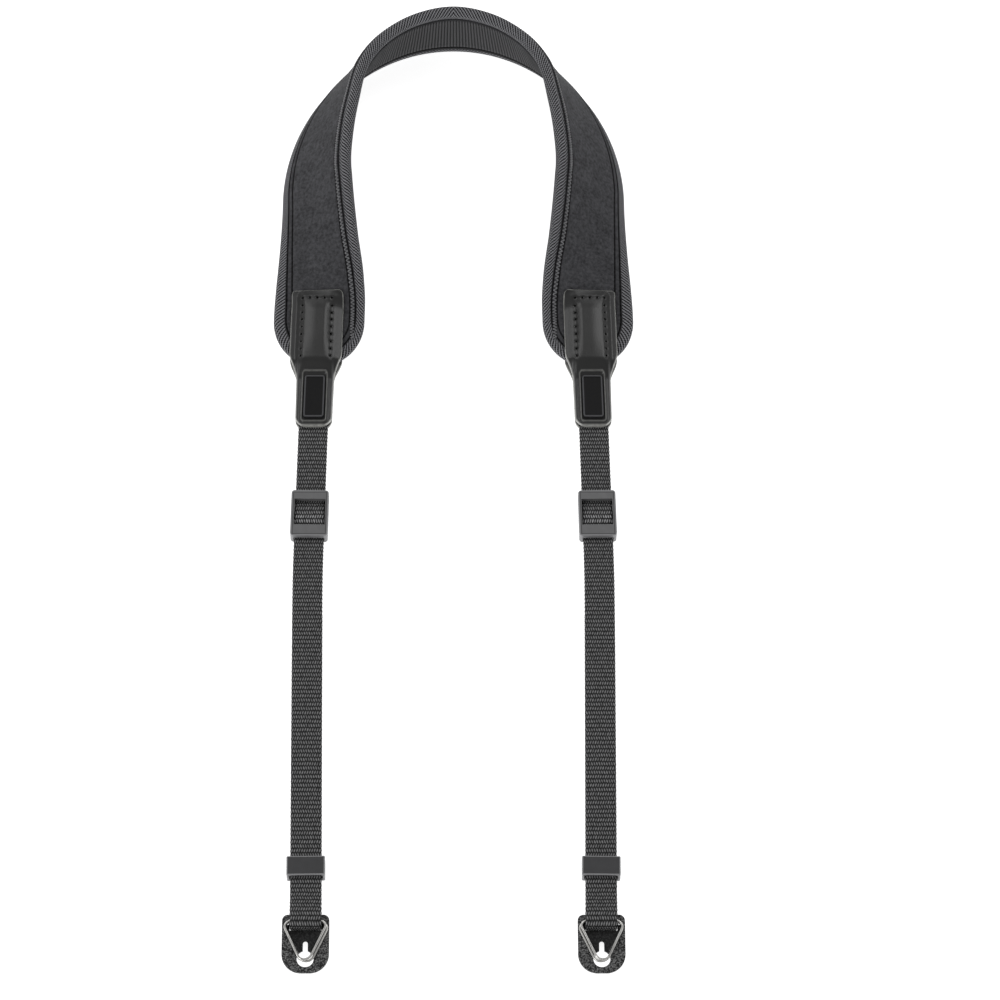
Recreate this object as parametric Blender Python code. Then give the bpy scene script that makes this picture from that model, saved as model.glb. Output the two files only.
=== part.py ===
"""Camera neck strap, lying open on a flat surface.

A padded neck piece stands banked on its lower edge and narrows into two leather tabs. A nylon
webbing leaves each tab, passes a three-bar slider, folds round the bar of a triangular ring and
comes back under itself through a sliding keeper. A leather protector lies under each ring.

Units are metres. X runs across, Y from the rings to the pad's arch, Z up from the surface.
"""
import math
from collections import namedtuple

import bmesh
import bpy
import numpy as np
from mathutils import Matrix, Vector

# Room between neighbouring pieces, and the looser room round moving ones
GAP = 0.0003
RUNNING_GAP = 0.0002

# Webbing
WEB_WIDTH = 0.010
WEB_THICKNESS = 0.0012

# Places along a strap, measured from the ring's bar towards the pad
KEEPER_FROM_BAR = 0.0152
TAIL_FROM_BAR = 0.1093
BEND_FROM_BAR = 0.1258
SLIDER_FROM_BAR = 0.1378
TAB_FROM_BAR = 0.1802
PAD_FROM_BAR = 0.2042

# Places of a strap's line across: the tab outward of the pad end's axis, and from the tab the
# rings inward and the outermost bend outward
TAB_OUTWARD = 0.00095
RINGS_INWARD = 0.0004
BEND_OUTWARD = 0.0014
BEND_ROUNDING = 0.0004

# Pad: a straight leg on each side and half an ellipse between them, as its lower edge stands
PAD_WIDTH = 0.0345
PAD_THICKNESS = 0.0045
PAD_LEG = 0.0675
PAD_LEG_SPREAD = 0.0022
ARCH_HALF_WIDTH = 0.0601
ARCH_DEPTH = 0.0692
PAD_CAP = 0.0175
LEG_STRAIGHT = 0.0156

# Binding tape round the pad's rim, and the ribbed cloth on the inner face
BINDING_LAP = 0.0039
BINDING_WALL = 0.0008
BINDING_DROP = 0.0005
RIM_SHOULDER = 0.0012
RIM_FLAT = 0.4
LINING_THICKNESS = 0.0010

# Leather tabs
TAB_LENGTH = 0.0519
TAB_WIDTH = 0.018
TAB_NECK = 0.013
TAB_NECK_END = 0.0125
TAB_TAPER_START = 0.0191
TAB_TAPER_END = 0.0276
TAB_TOP_RADIUS = 0.0016
TAB_END_RADIUS = 0.0042
LEATHER = 0.0013
WEB_UNDER_TAB = 0.0240
SEAT_RISE_BEFORE_PAD = 0.0059
SEAT_RISE_PAST_PAD = 0.0013
DOME_RUNOUT = 0.0015

# Rubber badge on each tab's neck
BADGE_WIDTH = 0.0069
BADGE_LENGTH = 0.0161
BADGE_THICKNESS = 0.0006
BADGE_FROM_TAB_END = 0.0032
BADGE_RADIUS = 0.0010

# Slider: two rails joined by a top bar, a centre bar and a bottom bar
SLIDER_LENGTH = 0.0172
SLIDER_HEIGHT = 0.0048
SLIDER_RAIL = 0.00105
SLIDER_SIDE_ROOM = 0.00025
SLIDER_TOP_BAR = 0.0032
SLIDER_END_BAR = 0.0042
SLIDER_CENTRE_BAR = 0.0032
SLIDER_CENTRE_FROM_TOP = 0.0082
SLIDER_CENTRE_BASE = 0.0008
SLIDER_CENTRE_HEIGHT = 0.0014
SLIDER_RAIL_DROP = 0.0002
SLIDER_EDGE = 0.0004

# Keeper: a flat sleeve round both layers of the webbing
KEEPER_LENGTH = 0.0066
KEEPER_BACK = 0.0009
KEEPER_PLATE = 0.0013
KEEPER_SIDE = 0.0009
KEEPER_EDGE = 0.0004

# Triangular ring of wire in two turns
RING_WIRE = 0.0008
RING_TURN_GAP = 0.0001
RING_BAR_HALF = 0.0046
RING_CORNER_RADIUS = 0.0019
RING_POINT_RADIUS = 0.0026
RING_HEIGHT = 0.0128
RING_SIDES = 6

# Protector: a leather plate with a slot for the webbing and a keyhole
PROTECTOR_WIDTH = 0.0151
PROTECTOR_THICKNESS = 0.0012
PROTECTOR_ABOVE_BAR = 0.0025
PROTECTOR_BELOW_BAR = 0.0166
PROTECTOR_TOP_RADIUS = 0.0019
PROTECTOR_END_RADIUS = 0.0062
SLOT_LENGTH = 0.0118
SLOT_BELOW_BAR = 0.0027
KEYHOLE_RADIUS = 0.0027
KEYHOLE_BELOW_BAR = 0.0120
KEYHOLE_SLIT = 0.0016
KEYHOLE_SLIT_BELOW_BAR = 0.0062
ENTRY_SLIT = 0.0004
ENTRY_SLIT_LEAN = math.radians(17)
ENTRY_SLIT_REACH = 0.62

# Distances over which the two layers of webbing open out towards the ring
FOLD_OPENING = 0.0090
FOLD_OPENING_FROM_BAR = 0.0012

# Sections along half the pad, from its end to the middle of the arch. share is of half the
# pad's length, bank is the tilt of the pad's outer face from level, in degrees, and width and
# thickness are shares of PAD_WIDTH and PAD_THICKNESS.
PadSection = namedtuple("PadSection", "share bank width thickness")
PAD_SECTIONS = (
    PadSection(0.00, 0.0, 0.913, 0.76),
    PadSection(0.12, 0.0, 0.913, 0.88),
    PadSection(0.19, 14.5, 0.915, 1.00),
    PadSection(0.28, 32.5, 0.924, 1.00),
    PadSection(0.38, 43.0, 0.944, 1.00),
    PadSection(0.52, 50.0, 0.975, 1.00),
    PadSection(0.62, 57.0, 0.990, 1.00),
    PadSection(0.72, 67.0, 1.000, 1.00),
    PadSection(0.82, 73.0, 1.000, 1.00),
    PadSection(0.91, 76.0, 1.000, 1.00),
    PadSection(1.00, 77.5, 1.000, 1.00),
)
LIFT_ENDS = 0.16
LIFT_GONE = 0.27

# Numbers of steps in the meshes
CAP_STEPS = 7
LEG_STEPS = 30
LEG_STEP_GROWTH = 1.4
ACROSS_STEPS = 3
ARC_STEPS = 6
CURVE_SAMPLES = 1500
SHARP_ANGLE = math.radians(35)

for old in list(bpy.data.objects):
    bpy.data.objects.remove(old, do_unlink=True)


def ease(share):
    """Smooth step from 0 to 1, level at both ends."""
    share = np.clip(share, 0.0, 1.0)
    return share * share * (3.0 - 2.0 * share)


def through(table, column, share):
    """Smooth curve without overshoot through one column of a table of sections."""
    at = np.array([row.share for row in table])
    value = np.array([getattr(row, column) for row in table])
    secant = np.diff(value) / np.diff(at)
    product = secant[:-1] * secant[1:]
    same_way = product > 0.0
    total = np.where(same_way, secant[:-1] + secant[1:], 1.0)
    slope = np.zeros(len(at))
    slope[1:-1] = np.where(same_way, 2.0 * product / total, 0.0)
    index = np.clip(np.searchsorted(at, share, side="right") - 1, 0, len(at) - 2)
    step = at[index + 1] - at[index]
    t = np.clip((share - at[index]) / step, 0.0, 1.0)
    start = (2 * t**3 - 3 * t**2 + 1) * value[index] + (t**3 - 2 * t**2 + t) * step * slope[index]
    end = (3 * t**2 - 2 * t**3) * value[index + 1] + (t**3 - t**2) * step * slope[index + 1]
    return start + end


# Ring and protector lie parallel, tilted so that the protector's strip clears the webbing
ring_half_stack = (2 * RING_WIRE + RING_TURN_GAP) / 2
plate_below_bar = ring_half_stack + RUNNING_GAP + PROTECTOR_THICKNESS
fold_inside = math.hypot(RING_WIRE / 2, ring_half_stack) + RUNNING_GAP
strip_edge = fold_inside - GAP
lug_tilt = math.asin((WEB_THICKNESS + GAP) / (PROTECTOR_BELOW_BAR - strip_edge))
bar_z = PROTECTOR_BELOW_BAR * math.sin(lug_tilt) + plate_below_bar * math.cos(lug_tilt)

# Half the distance between the two straps at the pad, at the rings and at their bends
pad_axis = ARCH_HALF_WIDTH + PAD_LEG_SPREAD - PAD_WIDTH * PAD_SECTIONS[0].width / 2
tabs_apart = pad_axis + TAB_OUTWARD
rings_apart = tabs_apart - RINGS_INWARD
bend_apart = tabs_apart + BEND_OUTWARD

# Overall layout: the rings' bars and the pad's ends, centred on the origin
plate_top_below_bar = plate_below_bar - PROTECTOR_THICKNESS
below_bar = PROTECTOR_BELOW_BAR * math.cos(lug_tilt) - plate_top_below_bar * math.sin(lug_tilt)
overall = below_bar + PAD_FROM_BAR + PAD_LEG + ARCH_DEPTH
bar_y = below_bar - overall / 2
tip_y = bar_y + PAD_FROM_BAR
arch_y = tip_y + PAD_LEG


def strap_x(y):
    """Distance of a strap's centre line from the middle plane: two lines with a rounded bend."""
    bend_y = bar_y + BEND_FROM_BAR
    lower = bend_apart + (y - bend_y) * (bend_apart - rings_apart) / BEND_FROM_BAR
    upper = bend_apart - (y - bend_y) * (bend_apart - tabs_apart) / (tip_y - bend_y)
    return (lower + upper - np.sqrt((lower - upper) ** 2 + BEND_ROUNDING**2)) / 2


def strap_turn(y):
    """Angle of a strap's centre line from +Y at y, positive where it spreads."""
    step = WEB_THICKNESS
    return math.atan((strap_x(y + step) - strap_x(y - step)) / (2 * step))


def pad_edge_line():
    """Plan of the pad's lower edge, from below its end up the leg and round a quarter ellipse."""
    leg = np.linspace(tip_y - PAD_FROM_BAR, arch_y, CURVE_SAMPLES)
    spread = PAD_LEG_SPREAD * ease((arch_y - leg) / (PAD_LEG - LEG_STRAIGHT))
    turn = np.linspace(0.0, math.pi / 2, CURVE_SAMPLES)[1:]
    x = np.concatenate([ARCH_HALF_WIDTH + spread, ARCH_HALF_WIDTH * np.cos(turn)])
    y = np.concatenate([leg, arch_y + ARCH_DEPTH * np.sin(turn)])
    return x, y


edge_x, edge_y = pad_edge_line()
edge_run = np.concatenate([[0.0], np.cumsum(np.hypot(np.diff(edge_x), np.diff(edge_y)))])
edge_run = edge_run - np.interp(tip_y, edge_y[:CURVE_SAMPLES], edge_run[:CURVE_SAMPLES])
half_pad = edge_run[-1]
tangent_x = np.gradient(edge_x, edge_run)
tangent_y = np.gradient(edge_y, edge_run)


def half_width(run):
    """Half the pad's width where its sides run along."""
    return PAD_WIDTH / 2 * through(PAD_SECTIONS, "width", run / half_pad)


def thickness(run):
    """Thickness of the whole pad."""
    return PAD_THICKNESS * through(PAD_SECTIONS, "thickness", run / half_pad)


def rim_half(run):
    """Half the thickness of the bound rim."""
    return thickness(run) / 2 - BINDING_DROP / 2


def pad_frame(run):
    """Centre, direction to the lower edge and outward normal, on the half with positive X."""
    bank = np.radians(through(PAD_SECTIONS, "bank", run / half_pad))
    out_x = np.interp(run, edge_run, tangent_y)
    out_y = -np.interp(run, edge_run, tangent_x)
    length = np.hypot(out_x, out_y)
    out = np.stack([out_x / length, out_y / length, np.zeros_like(run)], axis=-1)
    rim = rim_half(run)
    half = half_width(run)
    to_shoulder = half - RIM_SHOULDER
    inset = np.maximum(half * np.cos(bank) + RIM_FLAT * rim * np.sin(bank),
                       to_shoulder * np.cos(bank) + rim * np.sin(bank))
    lift = (LEATHER + GAP) * (1.0 - ease((run / half_pad - LIFT_ENDS) / (LIFT_GONE - LIFT_ENDS)))
    on_rim = half * np.sin(bank) + RIM_FLAT * rim * np.cos(bank)
    on_shoulder = to_shoulder * np.sin(bank) + rim * np.cos(bank)
    on_face = (half - BINDING_LAP) * np.sin(bank) + thickness(run) / 2 * np.cos(bank)
    edge = np.stack([np.interp(run, edge_run, edge_x), np.interp(run, edge_run, edge_y),
                     np.zeros_like(run)], axis=-1)
    centre = edge - inset[..., None] * out
    centre[..., 2] = lift + np.maximum(np.maximum(on_rim, on_shoulder), on_face)
    up = np.array([0.0, 0.0, 1.0])
    down_edge = np.cos(bank)[..., None] * out - np.sin(bank)[..., None] * up
    normal = np.sin(bank)[..., None] * out + np.cos(bank)[..., None] * up
    return centre, down_edge, normal


def pad_point(run, across, above, side):
    """Point at run along half the pad, across towards the lower edge and above its middle."""
    run, across, above = np.broadcast_arrays(*np.atleast_1d(run, across, above))
    centre, down_edge, normal = pad_frame(run.astype(float))
    point = centre + across[..., None] * down_edge + above[..., None] * normal
    return point * np.array([side, 1.0, 1.0])


def make_material(name, color, roughness, metallic=0.0):
    """Principled material with the piece's colour and finish."""
    material = bpy.data.materials.new(name)
    material.use_nodes = True
    shader = material.node_tree.nodes["Principled BSDF"]
    shader.inputs["Base Color"].default_value = (*color, 1.0)
    shader.inputs["Roughness"].default_value = roughness
    shader.inputs["Metallic"].default_value = metallic
    return material


def place(name, mesh, material, matrix=Matrix()):
    """Object in the scene with its own material, smooth except at sharp edges."""
    mesh.shade_smooth()
    mesh.set_sharp_from_angle(angle=SHARP_ANGLE)
    obj = bpy.data.objects.new(name, mesh)
    bpy.context.collection.objects.link(obj)
    obj.matrix_world = matrix
    obj.data.materials.clear()
    obj.data.materials.append(material)
    return obj


def closed_mesh(name, points, faces):
    """Mesh of one closed body with its faces turned outwards."""
    mesh = bpy.data.meshes.new(name)
    mesh.from_pydata([tuple(point) for point in points], [], faces)
    shape = bmesh.new()
    shape.from_mesh(mesh)
    bmesh.ops.recalc_face_normals(shape, faces=shape.faces)
    shape.to_mesh(mesh)
    shape.free()
    return mesh


def bands(rows, columns, wrap_rows, wrap_columns):
    """Faces that join neighbouring rows of a grid of points."""
    faces = []
    for row in range(rows if wrap_rows else rows - 1):
        below = (row + 1) % rows
        for column in range(columns if wrap_columns else columns - 1):
            beside = (column + 1) % columns
            faces.append((row * columns + column, row * columns + beside,
                          below * columns + beside, below * columns + column))
    return faces


def across_points(ring):
    """Points on the straight lines between facing points of a closed ring, without its two tips."""
    near = ring[1:pad_pairs + 1]
    far = ring[:pad_pairs + 1:-1]
    shares = (np.arange(ACROSS_STEPS - 1) + 1.0) / ACROSS_STEPS
    return (near[:, None] + (far - near)[:, None] * shares[None, :, None]).reshape(-1, 3)


def across_faces(first, first_inner):
    """Faces over a closed ring of points, in rows across it between its two tips."""
    rows = []
    for index in range(1, pad_pairs + 1):
        inner = first_inner + (index - 1) * (ACROSS_STEPS - 1)
        rows.append([first + index, *range(inner, inner + ACROSS_STEPS - 1), first + ring_points - index])
    faces = []
    for here, there in zip(rows, rows[1:]):
        faces += [(here[k], there[k], there[k + 1], here[k + 1]) for k in range(ACROSS_STEPS)]
    faces += [(first, rows[0][k], rows[0][k + 1]) for k in range(ACROSS_STEPS)]
    last = first + pad_pairs + 1
    faces += [(rows[-1][k], last, rows[-1][k + 1]) for k in range(ACROSS_STEPS)]
    return faces


def pad_outline():
    """Flat outline of the whole pad, as places, half widths and outward normals of one long side."""
    turn = np.linspace(0.0, math.pi / 2, CAP_STEPS + 1)
    cap_run = PAD_CAP * (1.0 - np.cos(turn))
    legs = PAD_CAP + (half_pad - PAD_CAP) * (np.arange(1, LEG_STEPS + 1) / LEG_STEPS) ** LEG_STEP_GROWTH
    run = np.concatenate([cap_run, legs])
    half = half_width(run) * np.concatenate([np.sin(turn), np.ones(LEG_STEPS)])
    normal_run = np.concatenate([-half_width(0.0) * np.cos(turn), np.zeros(LEG_STEPS)])
    normal_across = np.concatenate([PAD_CAP * np.sin(turn), np.ones(LEG_STEPS)])
    length = np.hypot(normal_run, normal_across)
    return run, half, normal_run / length, normal_across / length


outline = pad_outline()


def rim_ring(inset, above_share, above_fixed=0.0):
    """Closed ring of points round the pad, inset from its rim, at a share of the half thickness."""
    run, half, normal_run, normal_across = outline
    run_in = run - inset * normal_run
    across = half - inset * normal_across
    above = above_share * rim_half(run) + above_fixed
    lower_edge = [pad_point(run_in, across, above, side) for side in (-1, 1)]
    upper_edge = [pad_point(run_in, -across, above, side) for side in (-1, 1)]
    there = np.concatenate([lower_edge[0], lower_edge[1][-2::-1]])
    back = np.concatenate([upper_edge[1][1:], upper_edge[0][-2:0:-1]])
    return np.concatenate([there, back])


ring_points = 4 * (CAP_STEPS + LEG_STEPS)
pad_pairs = ring_points // 2 - 1


def pad_layer(name, profile, material):
    """Closed layer of the pad: rings round it, and a face across the first and the last."""
    rings = [rim_ring(*step) for step in profile]
    over, under = across_points(rings[0]), across_points(rings[-1])
    on_rings = len(rings) * ring_points
    faces = bands(len(rings), ring_points, False, True)
    faces += across_faces(0, on_rings)
    faces += across_faces(on_rings - ring_points, on_rings + len(over))
    return place(name, closed_mesh(name, np.concatenate([*rings, over, under]), faces), material)


# Pad: the body's rim is a thin tongue that the binding's channel closes over
panel_inset = BINDING_LAP + GAP
tongue_inset = BINDING_WALL + GAP
tongue_drop = -(BINDING_WALL + GAP)
face_rise = BINDING_DROP / 2
body_base = face_rise - LINING_THICKNESS - GAP
pad_layer(
    "pad_body",
    ((panel_inset, 1.0, face_rise), (panel_inset, 1.0, tongue_drop), (tongue_inset, 1.0, tongue_drop),
     (tongue_inset, -1.0, -tongue_drop), (panel_inset, -1.0, -body_base)),
    make_material("neoprene", (0.022, 0.022, 0.026), 0.85),
)
pad_layer(
    "pad_lining",
    ((panel_inset, -1.0, LINING_THICKNESS - face_rise), (panel_inset, -1.0, -face_rise)),
    make_material("ribbed_cloth", (0.020, 0.020, 0.022), 0.9),
)

# Binding: a folded tape whose channel opens inwards, as insets and heights round its section
wall = BINDING_WALL
binding_profile = (
    (BINDING_LAP, 1.0, 0.0), (RIM_SHOULDER, 1.0, 0.0), (0.0, RIM_FLAT, 0.0),
    (0.0, -RIM_FLAT, 0.0), (RIM_SHOULDER, -1.0, 0.0), (BINDING_LAP, -1.0, 0.0),
    (BINDING_LAP, -1.0, wall), (wall, -1.0, wall), (wall, 1.0, -wall), (BINDING_LAP, 1.0, -wall),
)
binding_rings = [rim_ring(*step) for step in binding_profile]
binding_mesh = closed_mesh("pad_binding", np.concatenate(binding_rings),
                           bands(len(binding_profile), ring_points, True, True))
place("pad_binding", binding_mesh, make_material("binding_tape", (0.030, 0.030, 0.032), 0.8))


def tab_point(y, across, above, side):
    """Point over the tab: y along the strap, across from the strap's centre line, above the pad."""
    return pad_point(y - tip_y, across + strap_x(y) - pad_axis, above, side)


def seat(y):
    """Height above the pad's middle on which the webbing lies: it climbs from the back leather."""
    rise = SEAT_RISE_BEFORE_PAD + SEAT_RISE_PAST_PAD
    climb = ease((y - tip_y + SEAT_RISE_BEFORE_PAD) / rise)
    half = thickness(y - tip_y) / 2
    return -half + climb * (2 * half + GAP)


def dome(across):
    """Share by which the front leather is lifted over the webbing, 1 at the middle."""
    edge = WEB_WIDTH / 2 + GAP
    return 1.0 - ease((np.abs(across) - edge) / DOME_RUNOUT)


tab_y = bar_y + TAB_FROM_BAR


def tab_half_width(along):
    """Half width of a tab at a distance from its free end."""
    neck = (TAB_NECK_END + (TAB_NECK - TAB_NECK_END) * along / TAB_TAPER_START) / 2
    shoulder = ease((along - TAB_TAPER_START) / (TAB_TAPER_END - TAB_TAPER_START))
    half = neck + (TAB_WIDTH / 2 - neck) * shoulder
    end_in = np.clip(TAB_END_RADIUS - along, 0.0, TAB_END_RADIUS)
    half = half - TAB_END_RADIUS + np.sqrt(TAB_END_RADIUS**2 - end_in**2)
    top_in = np.clip(along - TAB_LENGTH + TAB_TOP_RADIUS, 0.0, TAB_TOP_RADIUS)
    return half - TAB_TOP_RADIUS + np.sqrt(TAB_TOP_RADIUS**2 - top_in**2)


def corner_steps(radius, steps):
    """Distances along a rounded corner, from its tangent edge inwards."""
    return radius * (1.0 - np.cos(np.linspace(0.0, math.pi / 2, steps + 1)))


def tab_plate(name, along, half, columns, base, height, side, material):
    """Plate over the tab: rows along it, columns as shares of its half width, and its height."""
    y = tab_y + along
    across = half[:, None] * np.array(columns)[None, :]
    rows, count = across.shape
    y_grid = np.repeat(y[:, None], count, axis=1)
    low = base(y_grid, across)
    points = [tab_point(y_grid.ravel(), across.ravel(), level.ravel(), side)
              for level in (low, low + height)]
    under = rows * count
    top = bands(rows, count, False, False)
    faces = top + [tuple(index + under for index in face) for face in top]
    border = list(range(count)) + [row * count + count - 1 for row in range(1, rows)]
    border += list(range(under - 2, under - count - 1, -1))
    border += [row * count for row in range(rows - 2, 0, -1)]
    for index, here in enumerate(border):
        there = border[(index + 1) % len(border)]
        faces.append((here, there, there + under, here + under))
    return place(name, closed_mesh(name, np.concatenate(points), faces), material)


end_rows = corner_steps(TAB_END_RADIUS, 4)
seat_rows = np.linspace(TAB_TAPER_START, TAB_TAPER_END, 7)
over_rows = np.linspace(TAB_TAPER_END, TAB_LENGTH - TAB_TOP_RADIUS, 10)[1:-1]
top_rows = TAB_LENGTH - corner_steps(TAB_TOP_RADIUS, 3)[::-1]
neck_rows = np.array([(TAB_END_RADIUS + TAB_TAPER_START) / 2])
tab_rows = np.concatenate([end_rows, neck_rows, seat_rows, over_rows, top_rows])
badge_rows = BADGE_FROM_TAB_END + np.concatenate([
    corner_steps(BADGE_RADIUS, 3),
    [BADGE_LENGTH / 2],
    BADGE_LENGTH - corner_steps(BADGE_RADIUS, 3)[::-1],
])
badge_in = np.clip(BADGE_RADIUS - (badge_rows - BADGE_FROM_TAB_END), 0.0, None)
badge_in += np.clip(badge_rows - BADGE_FROM_TAB_END - BADGE_LENGTH + BADGE_RADIUS, 0.0, None)
badge_half = BADGE_WIDTH / 2 - BADGE_RADIUS + np.sqrt(BADGE_RADIUS**2 - badge_in**2)


def front_base(y, across):
    """Underside of the front leather."""
    return seat(y) + dome(across) * (WEB_THICKNESS + GAP)


def back_base(y, across):
    """Underside of the back leather, below the pad."""
    return -thickness(y - tip_y) / 2 - GAP - LEATHER


def badge_base(y, across):
    """Underside of the badge, on the front leather."""
    return seat(y) + WEB_THICKNESS + GAP + LEATHER + GAP


sides = (("left", -1), ("right", 1))
for label, side in sides:
    tab_plate(f"tab_front_{label}", tab_rows, tab_half_width(tab_rows),
              (-1.0, -0.85, -0.73, -0.6, 0.0, 0.6, 0.73, 0.85, 1.0), front_base, LEATHER, side,
              make_material(f"front_leather_{label}", (0.018, 0.018, 0.019), 0.35))
    tab_plate(f"tab_back_{label}", tab_rows, tab_half_width(tab_rows), (-1.0, 0.0, 1.0),
              back_base, LEATHER, side,
              make_material(f"back_leather_{label}", (0.030, 0.029, 0.029), 0.5))
    tab_plate(f"badge_{label}", badge_rows, badge_half, (-1.0, 1.0), badge_base, BADGE_THICKNESS,
              side, make_material(f"badge_rubber_{label}", (0.008, 0.008, 0.009), 0.4))

# Heights of the webbing's middle along the strap
neck_z = LEATHER + GAP + WEB_THICKNESS / 2
rear_z = KEEPER_BACK + GAP + WEB_THICKNESS / 2
front_z = rear_z + WEB_THICKNESS + GAP
crest_z = SLIDER_CENTRE_BASE + SLIDER_CENTRE_HEIGHT + GAP + WEB_THICKNESS / 2
fold_z = bar_z + fold_inside + WEB_THICKNESS / 2
slider_y = bar_y + SLIDER_FROM_BAR
slider_top = slider_y + SLIDER_LENGTH
crest_y = slider_top - SLIDER_CENTRE_FROM_TOP


def front_layer():
    """Middle line of the front layer from the tab down to the fold, as Y and Z."""
    marks = (
        (tab_y + TAB_END_RADIUS, neck_z),
        (slider_top - SLIDER_TOP_BAR, neck_z),
        (crest_y + SLIDER_CENTRE_BAR / 2, crest_z),
        (crest_y - SLIDER_CENTRE_BAR / 2, crest_z),
        (slider_y + SLIDER_END_BAR, neck_z),
        (slider_y, neck_z),
        (bar_y + TAIL_FROM_BAR + WEB_WIDTH, front_z),
        (bar_y + FOLD_OPENING_FROM_BAR + FOLD_OPENING, front_z),
        (bar_y + FOLD_OPENING_FROM_BAR, fold_z),
        (bar_y, fold_z),
    )
    line = []
    for (y0, z0), (y1, z1) in zip(marks, marks[1:]):
        steps = 1 if abs(z1 - z0) < GAP / 10 else ARC_STEPS
        for step in range(steps):
            share = step / steps
            line.append((y0 + (y1 - y0) * share, z0 + (z1 - z0) * float(ease(share))))
    return line


def fold():
    """Middle line round the ring's bar, down through the protector's slot and back under it."""
    top_radius = fold_inside + WEB_THICKNESS / 2
    foot_radius = GAP + WEB_THICKNESS / 2
    line = []
    for turn in np.linspace(0.0, math.pi / 2, ARC_STEPS + 1):
        line.append((bar_y - top_radius * math.sin(turn), bar_z + top_radius * math.cos(turn)))
    foot_y = bar_y - top_radius + foot_radius
    foot_z = WEB_THICKNESS / 2 + foot_radius
    for turn in np.linspace(math.pi / 2, math.pi, ARC_STEPS):
        line.append((foot_y - foot_radius * math.sin(turn), foot_z + foot_radius * math.cos(turn)))
    return line


def rear_layer():
    """Middle line of the rear layer from the fold back to its free end."""
    line = []
    low = WEB_THICKNESS / 2
    for share in np.linspace(0.0, 1.0, ARC_STEPS + 1):
        line.append((bar_y + FOLD_OPENING_FROM_BAR + FOLD_OPENING * share,
                     low + (rear_z - low) * float(ease(share))))
    line.append((bar_y + TAIL_FROM_BAR, rear_z))
    return line


def webbing(label, side, material):
    """One webbing as a flat band swept from under the tab to its free end."""
    under_tab = tip_y + np.linspace(WEB_UNDER_TAB, SEAT_RISE_PAST_PAD, 10)[:-1]
    climb = tip_y + np.linspace(SEAT_RISE_PAST_PAD, -SEAT_RISE_BEFORE_PAD, ARC_STEPS + 1)
    sections = []
    for y in np.concatenate([under_tab, climb]):
        corners = ((-1, 0), (1, 0), (1, 1), (-1, 1))
        sections.append([tab_point(y, across * WEB_WIDTH / 2, seat(y) + up * WEB_THICKNESS, side)[0]
                         for across, up in corners])
    line = np.array(front_layer() + fold() + rear_layer())
    heading = np.gradient(line, axis=0)
    heading /= np.hypot(heading[:, 0], heading[:, 1])[:, None]
    for (y, z), (run_y, run_z) in zip(line, heading):
        rise = np.array([0.0, run_z, -run_y]) * WEB_THICKNESS / 2
        middle = np.array([side * strap_x(y), y, z])
        across = np.array([side * WEB_WIDTH / 2, 0.0, 0.0])
        sections.append([middle - across - rise, middle + across - rise,
                         middle + across + rise, middle - across + rise])
    name = f"webbing_{label}"
    count = len(sections)
    faces = bands(count, 4, False, True) + [(0, 1, 2, 3), tuple(4 * count - 4 + k for k in range(4))]
    return place(name, closed_mesh(name, np.concatenate(sections), faces), material)


def block(low, high, edge=0.0):
    """Mesh of a box between two corners, with rounded edges."""
    shape = bmesh.new()
    size = Vector(high) - Vector(low)
    middle = (Vector(high) + Vector(low)) / 2
    box_matrix = Matrix.Translation(middle) @ Matrix.Diagonal((*size, 1.0))
    bmesh.ops.create_cube(shape, size=1.0, matrix=box_matrix)
    if edge > 0.0:
        bmesh.ops.bevel(shape, geom=shape.edges[:], offset=edge, segments=1, profile=0.5, affect="EDGES")
    mesh = bpy.data.meshes.new("block")
    shape.to_mesh(mesh)
    shape.free()
    return mesh


def prism(outline_points, low, high):
    """Mesh of a flat outline carried up from one height to another."""
    count = len(outline_points)
    points = [(x, y, low) for x, y in outline_points] + [(x, y, high) for x, y in outline_points]
    faces = [tuple(range(count)), tuple(range(count, 2 * count))]
    faces += [(k, (k + 1) % count, count + (k + 1) % count, count + k) for k in range(count)]
    return closed_mesh("prism", points, faces)


def combined(name, base, others, operation):
    """Mesh of a base with other meshes joined to it or cut from it."""
    body = bpy.data.objects.new(name, base)
    bpy.context.collection.objects.link(body)
    helpers = []
    for mesh in others:
        helper = bpy.data.objects.new(f"{name}_tool", mesh)
        helper.hide_render = True
        helper.display_type = "WIRE"
        bpy.context.collection.objects.link(helper)
        helpers.append(helper)
        step = body.modifiers.new("combine", "BOOLEAN")
        step.operation = operation
        step.object = helper
        step.solver = "EXACT"
    graph = bpy.context.evaluated_depsgraph_get()
    result = bpy.data.meshes.new_from_object(body.evaluated_get(graph))
    for helper in [body, *helpers]:
        bpy.data.objects.remove(helper, do_unlink=True)
    result.name = name
    return result


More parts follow.
